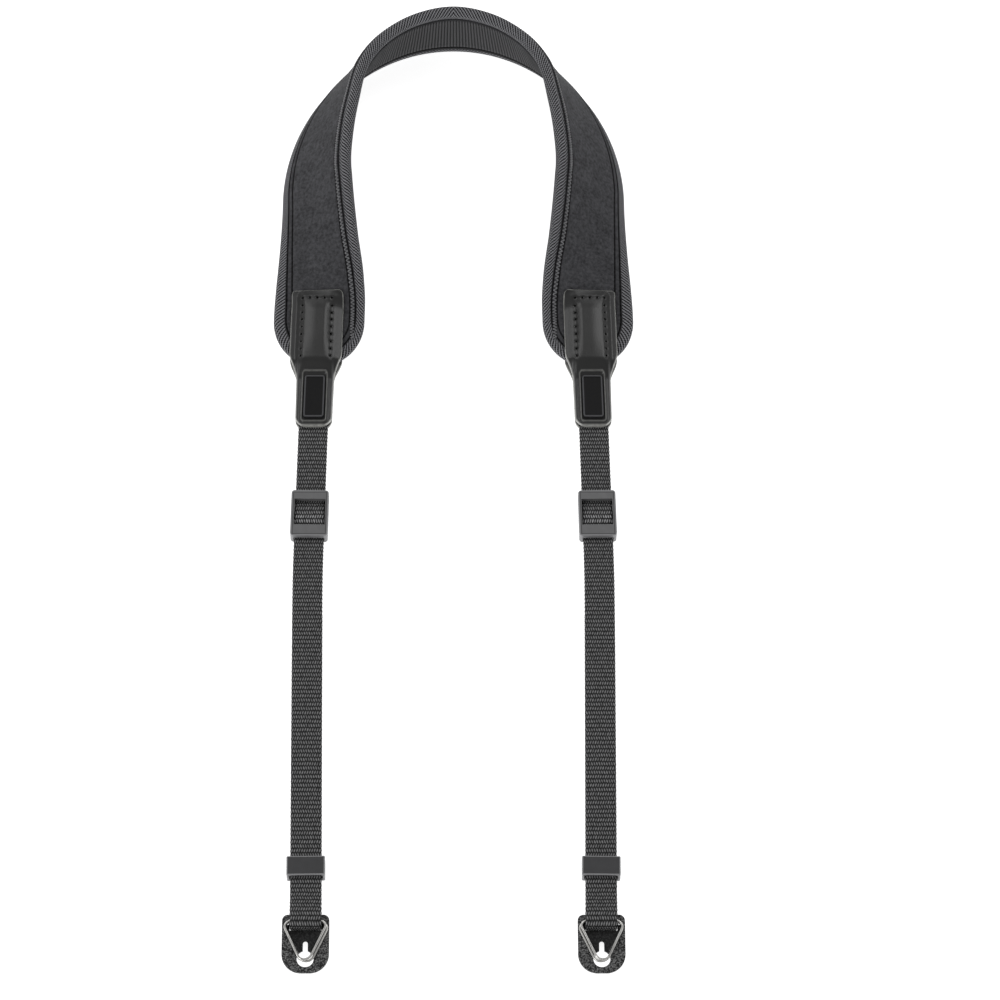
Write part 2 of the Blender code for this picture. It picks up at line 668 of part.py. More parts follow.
def slider_mesh():
    """Rails and three bars, with the middle of the underside at the origin."""
    outer = WEB_WIDTH / 2 + SLIDER_SIDE_ROOM + SLIDER_RAIL
    inner = WEB_WIDTH / 2 + SLIDER_SIDE_ROOM
    hold = SLIDER_RAIL / 2
    top = SLIDER_LENGTH / 2
    bar_base = neck_z + WEB_THICKNESS / 2 + GAP
    rail_top = SLIDER_HEIGHT - SLIDER_RAIL_DROP
    end_in = SLIDER_RAIL_DROP
    rails = [block((side * (inner + outer) / 2 - SLIDER_RAIL / 2, -top, 0.0),
                   (side * (inner + outer) / 2 + SLIDER_RAIL / 2, top, rail_top), SLIDER_EDGE)
             for side in (-1, 1)]
    reach = inner + hold
    centre = top - SLIDER_CENTRE_FROM_TOP
    bars = [
        block((-reach, top - SLIDER_TOP_BAR, bar_base), (reach, top - end_in, SLIDER_HEIGHT), SLIDER_EDGE),
        block((-reach, end_in - top, bar_base), (reach, SLIDER_END_BAR - top, SLIDER_HEIGHT), SLIDER_EDGE),
        block((-reach, centre - SLIDER_CENTRE_BAR / 2, SLIDER_CENTRE_BASE),
              (reach, centre + SLIDER_CENTRE_BAR / 2, SLIDER_CENTRE_BASE + SLIDER_CENTRE_HEIGHT),
              SLIDER_EDGE),
    ]
    return combined("slider", rails[0], bars + [rails[1]], "UNION")


def keeper_mesh():
    """Sleeve round both layers, with the middle of its lower end face's foot at the origin."""
    inner = WEB_WIDTH / 2 + GAP
    outer = inner + KEEPER_SIDE
    mouth_top = front_z + WEB_THICKNESS / 2 + GAP
    sleeve = block((-outer, 0.0, 0.0), (outer, KEEPER_LENGTH, mouth_top + KEEPER_PLATE), KEEPER_EDGE)
    mouth = block((-inner, -KEEPER_LENGTH, KEEPER_BACK), (inner, 2 * KEEPER_LENGTH, mouth_top))
    return combined("keeper", sleeve, [mouth], "DIFFERENCE")


def arc(centre, radius, start, end, steps):
    """Points on an arc in a plane, angles in radians, both ends included."""
    return [(centre[0] + radius * math.cos(angle), centre[1] + radius * math.sin(angle))
            for angle in np.linspace(start, end, steps + 1)]


def ring_turn():
    """Middle line of one turn of the ring's wire, closed, with its bar on the X axis."""
    corner = (RING_BAR_HALF, -RING_CORNER_RADIUS)
    point = (0.0, RING_POINT_RADIUS - RING_HEIGHT)
    reach = math.hypot(corner[0] - point[0], corner[1] - point[1])
    along = math.atan2(point[1] - corner[1], point[0] - corner[0])
    lean = along + math.acos((RING_CORNER_RADIUS - RING_POINT_RADIUS) / reach)
    right = arc(corner, RING_CORNER_RADIUS, math.pi / 2, lean, 4)
    bottom = arc(point, RING_POINT_RADIUS, lean, -math.pi - lean, 7)
    left = [(-x, y) for x, y in reversed(right)]
    leg = [tuple((np.array(right[-1]) * (3 - k) + np.array(bottom[0]) * k) / 3) for k in (1, 2)]
    far_leg = [(-x, y) for x, y in reversed(leg)]
    return far_leg + left + right + leg + bottom


def ring_mesh(side):
    """Wire wound twice round, stepping over itself on the leg away from the object's middle."""
    turn = np.array(ring_turn()) * np.array([-side, 1.0])
    count = len(turn)
    pitch = RING_WIRE + RING_TURN_GAP
    middle = np.arange(1, 2 * count - 1)
    height = pitch * (ease((middle - count + 1) / 2) - 0.5)
    line = np.column_stack([turn[middle % count], height])
    heading = np.gradient(line, axis=0)
    heading /= np.linalg.norm(heading, axis=1)[:, None]
    beside = np.column_stack([-heading[:, 1], heading[:, 0], np.zeros(len(line))])
    beside /= np.linalg.norm(beside, axis=1)[:, None]
    above = np.cross(heading, beside)
    points = []
    for angle in (np.arange(RING_SIDES) + 0.5) * 2 * math.pi / RING_SIDES:
        points.append(line + RING_WIRE / 2 * (math.cos(angle) * beside + math.sin(angle) * above))
    points = np.stack(points, axis=1).reshape(-1, 3)
    faces = bands(len(line), RING_SIDES, False, True)
    faces.append(tuple(range(RING_SIDES)))
    faces.append(tuple(range(len(points) - RING_SIDES, len(points))))
    return closed_mesh("ring", points, faces)


def protector_mesh(side):
    """Leather plate with its slot and keyhole cut through; the bar's axis is the origin."""
    half = PROTECTOR_WIDTH / 2
    top, end = PROTECTOR_ABOVE_BAR, -PROTECTOR_BELOW_BAR
    small, large = PROTECTOR_TOP_RADIUS, PROTECTOR_END_RADIUS
    right = arc((half - small, top - small), small, math.pi / 2, 0.0, 3)
    right += arc((half - large, end + large), large, 0.0, -math.pi / 2, 6)
    plate = right + [(-x, y) for x, y in reversed(right)]
    low, high = -plate_below_bar, PROTECTOR_THICKNESS - plate_below_bar
    under, over = low - GAP, high + GAP
    slot_half = SLOT_LENGTH / 2
    hole = arc((0.0, -KEYHOLE_BELOW_BAR), KEYHOLE_RADIUS, 0.0, 2 * math.pi, 18)[:-1]
    slit = KEYHOLE_SLIT / 2
    entry_middle = (-slot_half + ENTRY_SLIT, (top - strip_edge) / 2)
    lean = Vector((math.sin(ENTRY_SLIT_LEAN), math.cos(ENTRY_SLIT_LEAN)))
    across = Vector((lean.y, -lean.x)) * ENTRY_SLIT / 2
    reach = lean * (top + strip_edge) * ENTRY_SLIT_REACH
    entry = [Vector(entry_middle) + corner for corner in (-reach - across, -reach + across,
                                                          reach + across, reach - across)]
    entry = [(-side * point.x, point.y) for point in entry]
    cuts = [
        block((-slot_half, -SLOT_BELOW_BAR, under), (slot_half, -strip_edge, over)),
        prism(hole, under, over),
        block((-slit, -KEYHOLE_BELOW_BAR, under), (slit, -KEYHOLE_SLIT_BELOW_BAR, over)),
        prism(entry, under, over),
    ]
    return combined("protector", prism(plate, low, high), cuts, "DIFFERENCE")


for label, side in sides:
    webbing(label, side, make_material(f"webbing_{label}", (0.018, 0.018, 0.019), 0.8))
    slider_middle = slider_y + SLIDER_LENGTH / 2
    slider_place = Matrix.Translation((side * strap_x(slider_middle), slider_middle, 0.0))
    slider_place @= Matrix.Rotation(-side * strap_turn(slider_middle), 4, "Z")
    place(f"slider_{label}", slider_mesh(),
          make_material(f"slider_plastic_{label}", (0.10, 0.10, 0.105), 0.45), slider_place)
    keeper_y = bar_y + KEEPER_FROM_BAR
    strap_turned = Matrix.Rotation(-side * strap_turn(keeper_y), 4, "Z")
    keeper_place = Matrix.Translation((side * strap_x(keeper_y), keeper_y, 0.0)) @ strap_turned
    place(f"keeper_{label}", keeper_mesh(),
          make_material(f"keeper_plastic_{label}", (0.08, 0.08, 0.085), 0.45), keeper_place)
    lug_place = Matrix.Translation((side * strap_x(bar_y), bar_y, bar_z))
    lug_place @= Matrix.Rotation(lug_tilt, 4, "X")
    place(f"ring_{label}", ring_mesh(side),
          make_material(f"nickel_wire_{label}", (0.62, 0.61, 0.59), 0.25, 1.0), lug_place)
    place(f"protector_{label}", protector_mesh(side),
          make_material(f"grained_leather_{label}", (0.020, 0.020, 0.021), 0.6), lug_place)
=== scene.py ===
"""Camera neck strap lying open on a pale surface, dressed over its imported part.

The file follows the strap as it is put together: the neck pad, its leather tabs and badges, the
webbing, the plastic hardware, the rings and their protectors, and last the surface, light and camera.
All lengths are metres; UV maps hold millimetres along and across the cloth.
"""
import math

import bmesh
import bpy
import numpy as np
from mathutils import Matrix, Vector


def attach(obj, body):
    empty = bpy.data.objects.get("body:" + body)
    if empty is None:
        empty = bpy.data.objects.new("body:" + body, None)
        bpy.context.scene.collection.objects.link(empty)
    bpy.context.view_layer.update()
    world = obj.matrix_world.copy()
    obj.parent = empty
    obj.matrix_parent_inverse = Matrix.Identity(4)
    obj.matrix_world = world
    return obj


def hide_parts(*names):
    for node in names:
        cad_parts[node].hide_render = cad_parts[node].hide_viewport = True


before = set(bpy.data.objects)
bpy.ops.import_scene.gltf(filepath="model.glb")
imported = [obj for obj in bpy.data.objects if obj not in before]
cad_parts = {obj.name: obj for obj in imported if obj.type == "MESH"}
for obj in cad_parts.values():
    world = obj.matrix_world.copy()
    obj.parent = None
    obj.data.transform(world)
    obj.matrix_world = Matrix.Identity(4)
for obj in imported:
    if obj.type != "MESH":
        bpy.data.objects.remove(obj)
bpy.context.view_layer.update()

# Neck pad, outer face. A thin sheet of foam rubber faced with smooth knit cloth, moulded into a
# horseshoe that stands banked on its lower edge. Two rows of sewing run inside its bound rim, and
# the foam swells a little between them.
PAD_WIDTH = 0.0345
PAD_THICKNESS = 0.0045
PAD_LEG = 0.0675
PAD_SPREAD = 0.0022
ARCH_HALF_WIDTH = 0.0601
ARCH_DEPTH = 0.0692
PAD_CAP = 0.0175
LEG_STRAIGHT = 0.0156
PLAN_POINTS = 3000
BAR_Y = -0.162238
TIP_Y = BAR_Y + 0.2042
ARCH_Y = TIP_Y + PAD_LEG
LEATHER = 0.0013
LEATHER_UNDER = 0.16
LEATHER_LEFT = 0.11
GAP = 0.0003
RIM_SHOULDER = 0.0012
RIM_FLAT = 0.4
BINDING_DROP = 0.0005
BINDING_LAP = 0.0039
LINING_THICKNESS = 0.0010
FIRST_SEAM = 0.0039
SECOND_SEAM = 0.0058
SEAM_DEPTH = 0.00045
PAD_CROWN = 0.0006
SHARE = np.array([0.00, 0.12, 0.19, 0.28, 0.38, 0.52, 0.62, 0.72, 0.82, 0.91, 1.00])
BANK = np.array([0.0, 0.0, 14.5, 32.5, 43.0, 50.0, 57.0, 67.0, 73.0, 76.0, 77.5])
WIDTH = np.array([0.913, 0.913, 0.915, 0.924, 0.944, 0.975, 0.990, 1.0, 1.0, 1.0, 1.0])
THICK = np.array([0.76, 0.88, 1.0, 1.0, 1.0, 1.0, 1.0, 1.0, 1.0, 1.0, 1.0])


def ease(share):
    """Smooth step: 3s^2 - 2s^3, held at 0 and 1 outside."""
    share = np.clip(share, 0.0, 1.0)
    return share * share * (3.0 - 2.0 * share)


def through(value, share):
    """Monotone cubic through the pad's sections: Hermite pieces with harmonic mean slopes."""
    secant = np.diff(value) / np.diff(SHARE)
    product = secant[:-1] * secant[1:]
    total = np.where(product > 0.0, secant[:-1] + secant[1:], 1.0)
    slope = np.zeros(len(value))
    slope[1:-1] = np.where(product > 0.0, 2.0 * product / total, 0.0)
    index = np.clip(np.searchsorted(SHARE, share, side="right") - 1, 0, len(SHARE) - 2)
    step = SHARE[index + 1] - SHARE[index]
    t = np.clip((share - SHARE[index]) / step, 0.0, 1.0)
    start = (2 * t**3 - 3 * t**2 + 1) * value[index] + (t**3 - 2 * t**2 + t) * step * slope[index]
    end = (3 * t**2 - 2 * t**3) * value[index + 1] + (t**3 - t**2) * step * slope[index + 1]
    return start + end


# Plan of the pad's lower edge: up the spreading leg, then round a quarter ellipse
leg_y = np.linspace(TIP_Y - 0.2, ARCH_Y, PLAN_POINTS)
leg_x = ARCH_HALF_WIDTH + PAD_SPREAD * ease((ARCH_Y - leg_y) / (PAD_LEG - LEG_STRAIGHT))
quarter = np.linspace(0.0, math.pi / 2, PLAN_POINTS)[1:]
edge_x = np.concatenate([leg_x, ARCH_HALF_WIDTH * np.cos(quarter)])
edge_y = np.concatenate([leg_y, ARCH_Y + ARCH_DEPTH * np.sin(quarter)])
edge_run = np.concatenate([[0.0], np.cumsum(np.hypot(np.diff(edge_x), np.diff(edge_y)))])
edge_run -= np.interp(TIP_Y, leg_y, edge_run[:PLAN_POINTS])
half_pad = edge_run[-1]
tangent_x = np.gradient(edge_x, edge_run)
tangent_y = np.gradient(edge_y, edge_run)


def half_width(run):
    """Half the pad's width: the width share of the section, times half the full width."""
    return PAD_WIDTH / 2 * through(WIDTH, run / half_pad)


def thickness(run):
    """The pad's whole thickness: the thickness share of the section, times the full thickness."""
    return PAD_THICKNESS * through(THICK, run / half_pad)


def pad_point(run, across, above, side):
    """Point of the pad: its section's centre, plus across towards the lower edge, plus above.

    The section leans by the bank angle about the plan's tangent, and its centre is set so that the
    rim's lowest line touches the table, or the back leather where that lies under the pad's end.
    """
    run, across, above, side = np.broadcast_arrays(run, across, above, side)
    bank = np.radians(through(BANK, run / half_pad))
    out_x = np.interp(run, edge_run, tangent_y)
    out_y = -np.interp(run, edge_run, tangent_x)
    length = np.hypot(out_x, out_y)
    out_x, out_y = out_x / length, out_y / length
    rim = thickness(run) / 2 - BINDING_DROP / 2
    half = half_width(run)
    shoulder = half - RIM_SHOULDER
    inset = np.maximum(half * np.cos(bank) + RIM_FLAT * rim * np.sin(bank),
                       shoulder * np.cos(bank) + rim * np.sin(bank))
    lift = (LEATHER + GAP) * (1.0 - ease((run / half_pad - LEATHER_UNDER) / LEATHER_LEFT))
    height = np.maximum(half * np.sin(bank) + RIM_FLAT * rim * np.cos(bank),
                        shoulder * np.sin(bank) + rim * np.cos(bank))
    height = np.maximum(height, (half - BINDING_LAP) * np.sin(bank) + thickness(run) / 2 * np.cos(bank))
    level = across * np.cos(bank) + above * np.sin(bank) - inset
    x = np.interp(run, edge_run, edge_x) + level * out_x
    y = np.interp(run, edge_run, edge_y) + level * out_y
    z = lift + height - across * np.sin(bank) + above * np.cos(bank)
    return np.stack([x * side, y, z], axis=-1)


def pad_round(cap_steps, leg_steps):
    """Stations round the pad's rim: run, half width, plan normal, edge sign and side sign.

    They go along the lower edge first, then back. The pad's end is a quarter ellipse, with run =
    cap length (1 - cos t) and half width = the section's times sin t; the legs are in even steps.
    """
    turn = np.linspace(0.0, math.pi / 2, cap_steps + 1)
    legs = PAD_CAP + (half_pad - PAD_CAP) * np.arange(1, leg_steps + 1) / leg_steps
    run = np.concatenate([PAD_CAP * (1.0 - np.cos(turn)), legs])
    half = half_width(run) * np.concatenate([np.sin(turn), np.ones(leg_steps)])
    normal_run = np.concatenate([-half_width(0.0) * np.cos(turn), np.zeros(leg_steps)])
    normal_across = np.concatenate([PAD_CAP * np.sin(turn), np.ones(leg_steps)])
    length = np.hypot(normal_run, normal_across)
    way = np.stack([run, half, normal_run / length, normal_across / length])
    last = len(run)
    way = np.concatenate([way, way[:, -2::-1], way[:, 1:], way[:, -2::-1]], axis=1)
    sign = np.concatenate([np.ones(2 * last - 1), -np.ones(2 * last - 2)])
    side = np.concatenate([-np.ones(last), np.ones(2 * last - 2), -np.ones(last - 1)])
    return (*way, sign, side)


def rim_rings(stations, inset, above):
    """Rings round the pad, one for each inset from the rim, at heights above the pad's middle."""
    run, half, normal_run, normal_across, sign, side = stations
    inset = np.asarray(inset)
    inset = inset[:, None] if inset.ndim == 1 else inset
    return pad_point(run - inset * normal_run, sign * (half - inset * normal_across), above, side)


def ring_length(ring):
    """Length in millimetres along a ring of points, from its first."""
    step = np.linalg.norm(np.diff(ring, axis=0), axis=1)
    return 1000.0 * np.concatenate([[0.0], np.cumsum(step)])


def unit(vectors):
    """Rows of vectors, each divided by its length."""
    return vectors / np.linalg.norm(vectors, axis=1)[:, None]


def ladder(ring, columns, lift=None):
    """Straight rungs between facing points of a closed ring, raised by lift(share) where it is given."""
    half = len(ring) // 2
    near, far = ring[:half + 1], ring[half:][::-1]
    share = np.linspace(0.0, 1.0, columns + 1)
    rungs = near[:, None] + (far - near)[:, None] * share[None, :, None]
    if lift is None:
        return rungs
    along = np.gradient(near + far, axis=0)
    normal = np.cross(far - near, along)
    normal[0], normal[-1] = normal[1], normal[-2]
    return rungs + lift(share[None, :])[..., None] * unit(normal)[:, None]


def weld(mesh):
    """Merges points closer than two thousandths of a millimetre and turns every face outwards."""
    shape = bmesh.new()
    shape.from_mesh(mesh)
    bmesh.ops.remove_doubles(shape, verts=shape.verts, dist=2e-6)
    bmesh.ops.recalc_face_normals(shape, faces=shape.faces)
    shape.to_mesh(mesh)
    shape.free()


def shaded_piece(name, mesh, sharp=None):
    """Object for a finished mesh, shaded smooth apart from edges sharper than an angle in degrees."""
    mesh.shade_smooth()
    if sharp is not None:
        mesh.set_sharp_from_angle(angle=math.radians(sharp))
    piece = bpy.data.objects.new(name, mesh)
    bpy.context.scene.collection.objects.link(piece)
    return piece


def surface(name, *grids, sharp=None):
    """Mesh of grids of points with their UV, welded where they meet, faces turned outwards."""
    points, quads, uvs, first = [], [], [], 0
    for grid, uv in grids:
        index = first + np.arange(grid.shape[0] * grid.shape[1]).reshape(grid.shape[:2])
        first += index.size
        corners = (index[:-1, :-1], index[:-1, 1:], index[1:, 1:], index[1:, :-1])
        places = (uv[:-1, :-1], uv[:-1, 1:], uv[1:, 1:], uv[1:, :-1])
        points.append(grid.reshape(-1, 3))
        quads.append(np.stack(corners, axis=-1).reshape(-1, 4))
        uvs.append(np.stack(places, axis=2).reshape(-1, 2))
    points, quads, uvs = np.concatenate(points), np.concatenate(quads), np.concatenate(uvs)
    mesh = bpy.data.meshes.new(name)
    mesh.vertices.add(len(points))
    mesh.vertices.foreach_set("co", points.ravel())
    mesh.loops.add(quads.size)
    mesh.loops.foreach_set("vertex_index", quads.ravel())
    mesh.polygons.add(len(quads))
    mesh.polygons.foreach_set("loop_start", np.arange(0, quads.size, 4))
    mesh.update(calc_edges=True)
    mesh.uv_layers.new(name="mm").data.foreach_set("uv", uvs.ravel())
    weld(mesh)
    return shaded_piece(name, mesh, sharp)


def flat_uv(grid, u, v):
    """UV of a grid from u and v in millimetres, each one value or an array that fits the grid."""
    return np.stack([np.broadcast_to(u, grid.shape[:2]), np.broadcast_to(v, grid.shape[:2])], axis=-1)


def linear(code):
    """Linear colour of an sRGB hex value."""
    values = np.array([int(code[k:k + 2], 16) for k in (1, 3, 5)]) / 255.0
    values = np.where(values <= 0.04045, values / 12.92, ((values + 0.055) / 1.055) ** 2.4)
    return (*values.tolist(), 1.0)


def add(tree, kind, inputs=(), to=None, **settings):
    """Adds a node with its settings, links its result to a socket if one is given, and returns it.

    The inputs are a dictionary by socket or a list in their order, and hold numbers, hex colours or
    results of other nodes. A Mix node mixes colours: its list is the share and the two colours.
    """
    made = tree.nodes.new("ShaderNode" + kind)
    mixes = kind == "Mix"
    if mixes:
        made.data_type = "RGBA"
    for key, value in settings.items():
        setattr(made, key, value)
    if not isinstance(inputs, dict):
        inputs = dict(zip((0, 6, 7) if mixes else range(len(inputs)), inputs))
    for key, value in inputs.items():
        if isinstance(value, bpy.types.NodeSocket):
            tree.links.new(value, made.inputs[key])
        else:
            made.inputs[key].default_value = linear(value) if isinstance(value, str) else value
    result = made.outputs[2 if mixes else 0]
    if to is not None:
        tree.links.new(result, to)
    return result


def new_material(name, **values):
    """Material with one Principled shader whose sockets hold the given values and hex colours."""
    material = bpy.data.materials.new(name)
    material.use_nodes = True
    shader = material.node_tree.nodes["Principled BSDF"]
    for key, value in values.items():
        value = linear(value) if isinstance(value, str) else value
        shader.inputs[key.replace("_", " ")].default_value = value
    return material, material.node_tree, shader


# The outer face runs inwards from under the binding: two sewn grooves, a low ridge between them and
# the crown of the foam beyond. on_top goes from 0 at the lower edge to 1 at the upper one, where the
# first seam sits closer to the rim; past_tab leaves the face flat under the leather.
rim_round = pad_round(16, 150)
rim_run, rim_across = rim_round[0], rim_round[4] * rim_round[1]
half_way = len(rim_run) // 2 + 1
on_top = ((1.0 - rim_across / half_width(rim_run)) / 2)[None, :]
past_tab = ease((rim_run - 0.030) / 0.022)[None, :]
inset = np.array([2.0, 2.9, 3.5, 3.7, 3.84, 3.92, 4.0, 4.15, 4.4, 4.8, 5.2, 5.5, 5.66, 5.78, 5.9, 6.05,
                  6.4, 7.0]) * 0.001
seam_shift = 0.001 * (0.45 - 1.10 * on_top)
placed = inset[:, None] + seam_shift * np.minimum(inset[:, None] / FIRST_SEAM, 1.0)
groove = lambda at, wide: np.exp(-((inset - at) / wide) ** 2)[:, None]
swell = ease((inset - SECOND_SEAM) / 0.004)[:, None] * PAD_CROWN * 0.45
swell = swell + 0.00012 * np.exp(-((inset - 0.00485) / 0.0007) ** 2)[:, None]
relief = -SEAM_DEPTH * (groove(FIRST_SEAM, 0.00016) + groove(SECOND_SEAM, 0.00016) * (1 - 0.6 * on_top))
face = thickness(rim_run)[None, :] / 2
top = rim_rings(rim_round, placed, face + relief + swell * past_tab)
top[0:2] = rim_rings(rim_round, placed[:2], face - 0.0012)
length = ring_length(rim_rings(rim_round, [0.003], face)[0])[None, :]
rim_uv = flat_uv(top, length, inset[:, None] * 1000)
crown = past_tab[0, :half_way, None]
run_here = rim_run[:half_way, None]


def outer_lift(share):
    """Crown of the foam between its seams, 4s(1-s) to the power 0.7, with slow waves along the run."""
    bulge = (4.0 * share * (1.0 - share)) ** 0.7
    wave = 1.0 + 0.10 * np.sin(run_here * 210.0) + 0.06 * np.sin(run_here * 470.0 + 5.0 * share)
    return -bulge * wave * PAD_CROWN * 0.55 * crown


foam = ladder(top[-1], 20, outer_lift)
rung = np.linspace(0.0, 1.0, 21)[None, :]
foam_mm = np.linalg.norm(foam[:, -1] - foam[:, 0], axis=1)[:, None] * 1000
foam_uv = flat_uv(foam, length[:, :half_way].T, 7.0 + foam_mm * np.minimum(rung, 1 - rung))
under_inset = np.array([2.0, 3.4, 5.0]) * 0.001
under = rim_rings(rim_round, under_inset, -face + LINING_THICKNESS + 0.0001)
under[0] = rim_rings(rim_round, under_inset[:1], -face + 0.0012)
floor_of_pad = ladder(under[-1], 4)
side_wall = np.stack([top[0], under[0]])
pad = surface(
    "pad_foam",
    (top, rim_uv),
    (foam, foam_uv),
    (side_wall, flat_uv(side_wall, length, 2.0)),
    (under, flat_uv(under, length, under_inset[:, None] * 1000)),
    (floor_of_pad, flat_uv(floor_of_pad, 0.0, 9.0)),
)

# Knit-faced neoprene: a dull charcoal jersey with a faint melange fleck. Each sewn groove is painted
# near black, partly its dark stitches, which show as dots 1.9 mm apart, and partly painted shade
knit, tree, shader = new_material("neoprene_knit", Roughness=0.85, Specular_IOR_Level=0.15)
place = add(tree, "TexCoord").node.outputs["Object"]
fleck = add(tree, "TexNoise", {"Vector": place, "Scale": 1 / 0.0011, "Detail": 3.0, "Roughness": 0.65})
cloud = add(tree, "TexNoise", {"Vector": place, "Scale": 1 / 0.006, "Detail": 2.0})
mixed = add(tree, "Math", [cloud, 0.35, fleck], operation="MULTIPLY_ADD")
tone = add(tree, "MapRange", [mixed, 0.46, 0.88])
colour = add(tree, "Mix", [tone, "#2f2f31", "#515154"])
uv = add(tree, "SeparateXYZ", [add(tree, "UVMap", uv_map="mm")]).node.outputs
# Painted shade: a near-black line down each sewn groove, with the stitch dots in it
for seam, dark in ((FIRST_SEAM, 1.0), (SECOND_SEAM, 0.95)):
    off = add(tree, "Math", [uv[1], seam * 1000], operation="SUBTRACT")
    off = add(tree, "Math", [off], operation="ABSOLUTE")
    line = add(tree, "MapRange", [off, 0.16, 0.46, dark, 0.0])
    dots = add(tree, "Math", [uv[0], 2 * math.pi / 1.9], operation="MULTIPLY")
    dots = add(tree, "Math", [dots], operation="SINE")
    dots = add(tree, "MapRange", [dots, -1.0, 0.4, 0.8, 1.0])
    line = add(tree, "Math", [line, dots], operation="MULTIPLY")
    colour = add(tree, "Mix", [line, colour, "#060607"])
tree.links.new(colour, shader.inputs["Base Color"])
loops = add(tree, "TexVoronoi", {"Vector": place, "Scale": 1 / 0.00055, "Randomness": 0.7})
grain = add(tree, "Math", [loops, fleck], operation="ADD")
add(tree, "Bump", {"Strength": 0.45, "Distance": 0.00012, "Height": grain}, to=shader.inputs["Normal"])
pad.data.materials.append(knit)
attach(pad, "strap")
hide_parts("pad_body")

# Inner face of the pad. Ribbed cloth is bonded to the foam on the side that lies on the neck; its
# ribs run straight across the pad, about 1.15 mm apart.
RIB = 1.15
STRIP_SEAM = 6.0
rib_round = pad_round(10, 960)
rib_run, rib_across = rib_round[0], rib_round[4] * rib_round[1]
rib_face = -thickness(rib_run)[None, :] / 2
at_lower_edge = (1.0 + rib_across / half_width(rib_run))[None, :] / 2
strip = np.array([3.0, 3.6, 3.85, 4.0, 4.3, 5.0, 5.6, 5.85, 6.0, 6.15, 6.5])[:, None]
strip_depth = np.array([0.4, 0.1, 0.30, 0.02, -0.08, -0.12, -0.06, 0.3, 0.42, 0.3, 0.0])[:, None] * 0.001
strip_inset = (3.0 + (strip - 3.0) * (0.36 + 0.64 * at_lower_edge)) * 0.001
rib_rings = rim_rings(rib_round, strip_inset, rib_face + strip_depth)
rib_length = ring_length(rib_rings[1])
half_round = len(rib_length) // 2 + 1
rib_phase = rib_length[:half_round, None] * 2 * math.pi / RIB


def rib_lift(share):
    """Ribs as rounded ridges across the pad: 0.22 mm times |cos| of the length along the pad."""
    fade = ease(share / 0.05) * ease((1 - share) / 0.05)
    return (0.22e-3 * np.abs(np.cos(rib_phase / 2)) ** 0.8 - 0.05e-3) * fade


ribs = ladder(rib_rings[-1], 12, rib_lift)
rib_back = rim_rings(rib_round, [0.0030], rib_face + LINING_THICKNESS)
rib_cover = ladder(rib_back[0], 2)
rib_wall = np.stack([rib_rings[0], rib_back[0]])
rib_share = np.linspace(0.0, 25.0, 13)[None, :]
lining = surface(
    "pad_ribbed_lining",
    (rib_rings, flat_uv(rib_rings, rib_length[None, :], -strip)),
    (ribs, flat_uv(ribs, rib_length[:half_round, None], rib_share)),
    (rib_wall, flat_uv(rib_wall, rib_length[None, :], -1.0)),
    (rib_cover, flat_uv(rib_cover, 0.0, -1.0)),
)

# Ribbed polyester knit with loops 0.9 mm long, painted grey on the rib crests as a painted highlight
# and black between the ribs as painted shade; a plain darker strip, sewn down 6 mm from the rim, runs
# between the ribs and the binding, and its seam is painted black, partly thread and partly painted shade
rib_cloth, tree, shader = new_material("ribbed_polyester", Roughness=0.85, Specular_IOR_Level=0.2)
uv = add(tree, "SeparateXYZ", [add(tree, "UVMap", uv_map="mm")]).node.outputs
crest = add(tree, "Math", [uv[0], math.pi / RIB], operation="MULTIPLY")
crest = add(tree, "Math", [add(tree, "Math", [crest], operation="COSINE")], operation="ABSOLUTE")
loop = add(tree, "Math", [uv[1], 2 * math.pi / 0.9], operation="MULTIPLY")
loop = add(tree, "Math", [loop], operation="SINE")
loop = add(tree, "MapRange", [loop, -1.0, 1.0, 0.72, 1.0])
# Painted highlight and shade: the colour follows the ribs, grey on the crests and black between them
tone = add(tree, "MapRange", [crest, 0.25, 1.0])
tone = add(tree, "Math", [tone, loop], operation="MULTIPLY")
colour = add(tree, "Mix", [tone, "#111112", "#565658"])
on_strip = add(tree, "Math", [uv[1], 0.0], operation="LESS_THAN")
colour = add(tree, "Mix", [on_strip, colour, "#2e2e30"])
# Painted shade: the seam's groove 6 mm from the rim is painted black, together with its dark thread
sewn = add(tree, "Math", [uv[1], STRIP_SEAM], operation="ADD")
sewn = add(tree, "Math", [sewn], operation="ABSOLUTE")
sewn = add(tree, "MapRange", [sewn, 0.25, 0.5, 1.0, 0.0])
add(tree, "Mix", [sewn, colour, "#050505"], to=shader.inputs["Base Color"])
add(tree, "Bump", {"Strength": 0.4, "Distance": 0.0001, "Height": loop}, to=shader.inputs["Normal"])
lining.data.materials.append(rib_cloth)
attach(lining, "strap")
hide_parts("pad_lining")

# Binding. A herringbone tape is folded over the rim from both faces and sewn down all the way
# round, so both raw edges of the foam are hidden.
TAPE = 0.0005
TAPE_ROUND = 0.0016
turn = np.linspace(0.0, math.pi / 2, 9)
rim = (thickness(rim_run) / 2 - BINDING_DROP / 2)[None, :]


def tape_rings(inset, height):
    """Rings of the tape at heights above the pad's middle; its laps follow the shifted seam."""
    past_round = np.clip((inset[:, None] - TAPE_ROUND) / 0.002, 0.0, 1.0)
    return rim_rings(rim_round, inset[:, None] + seam_shift * past_round, height)


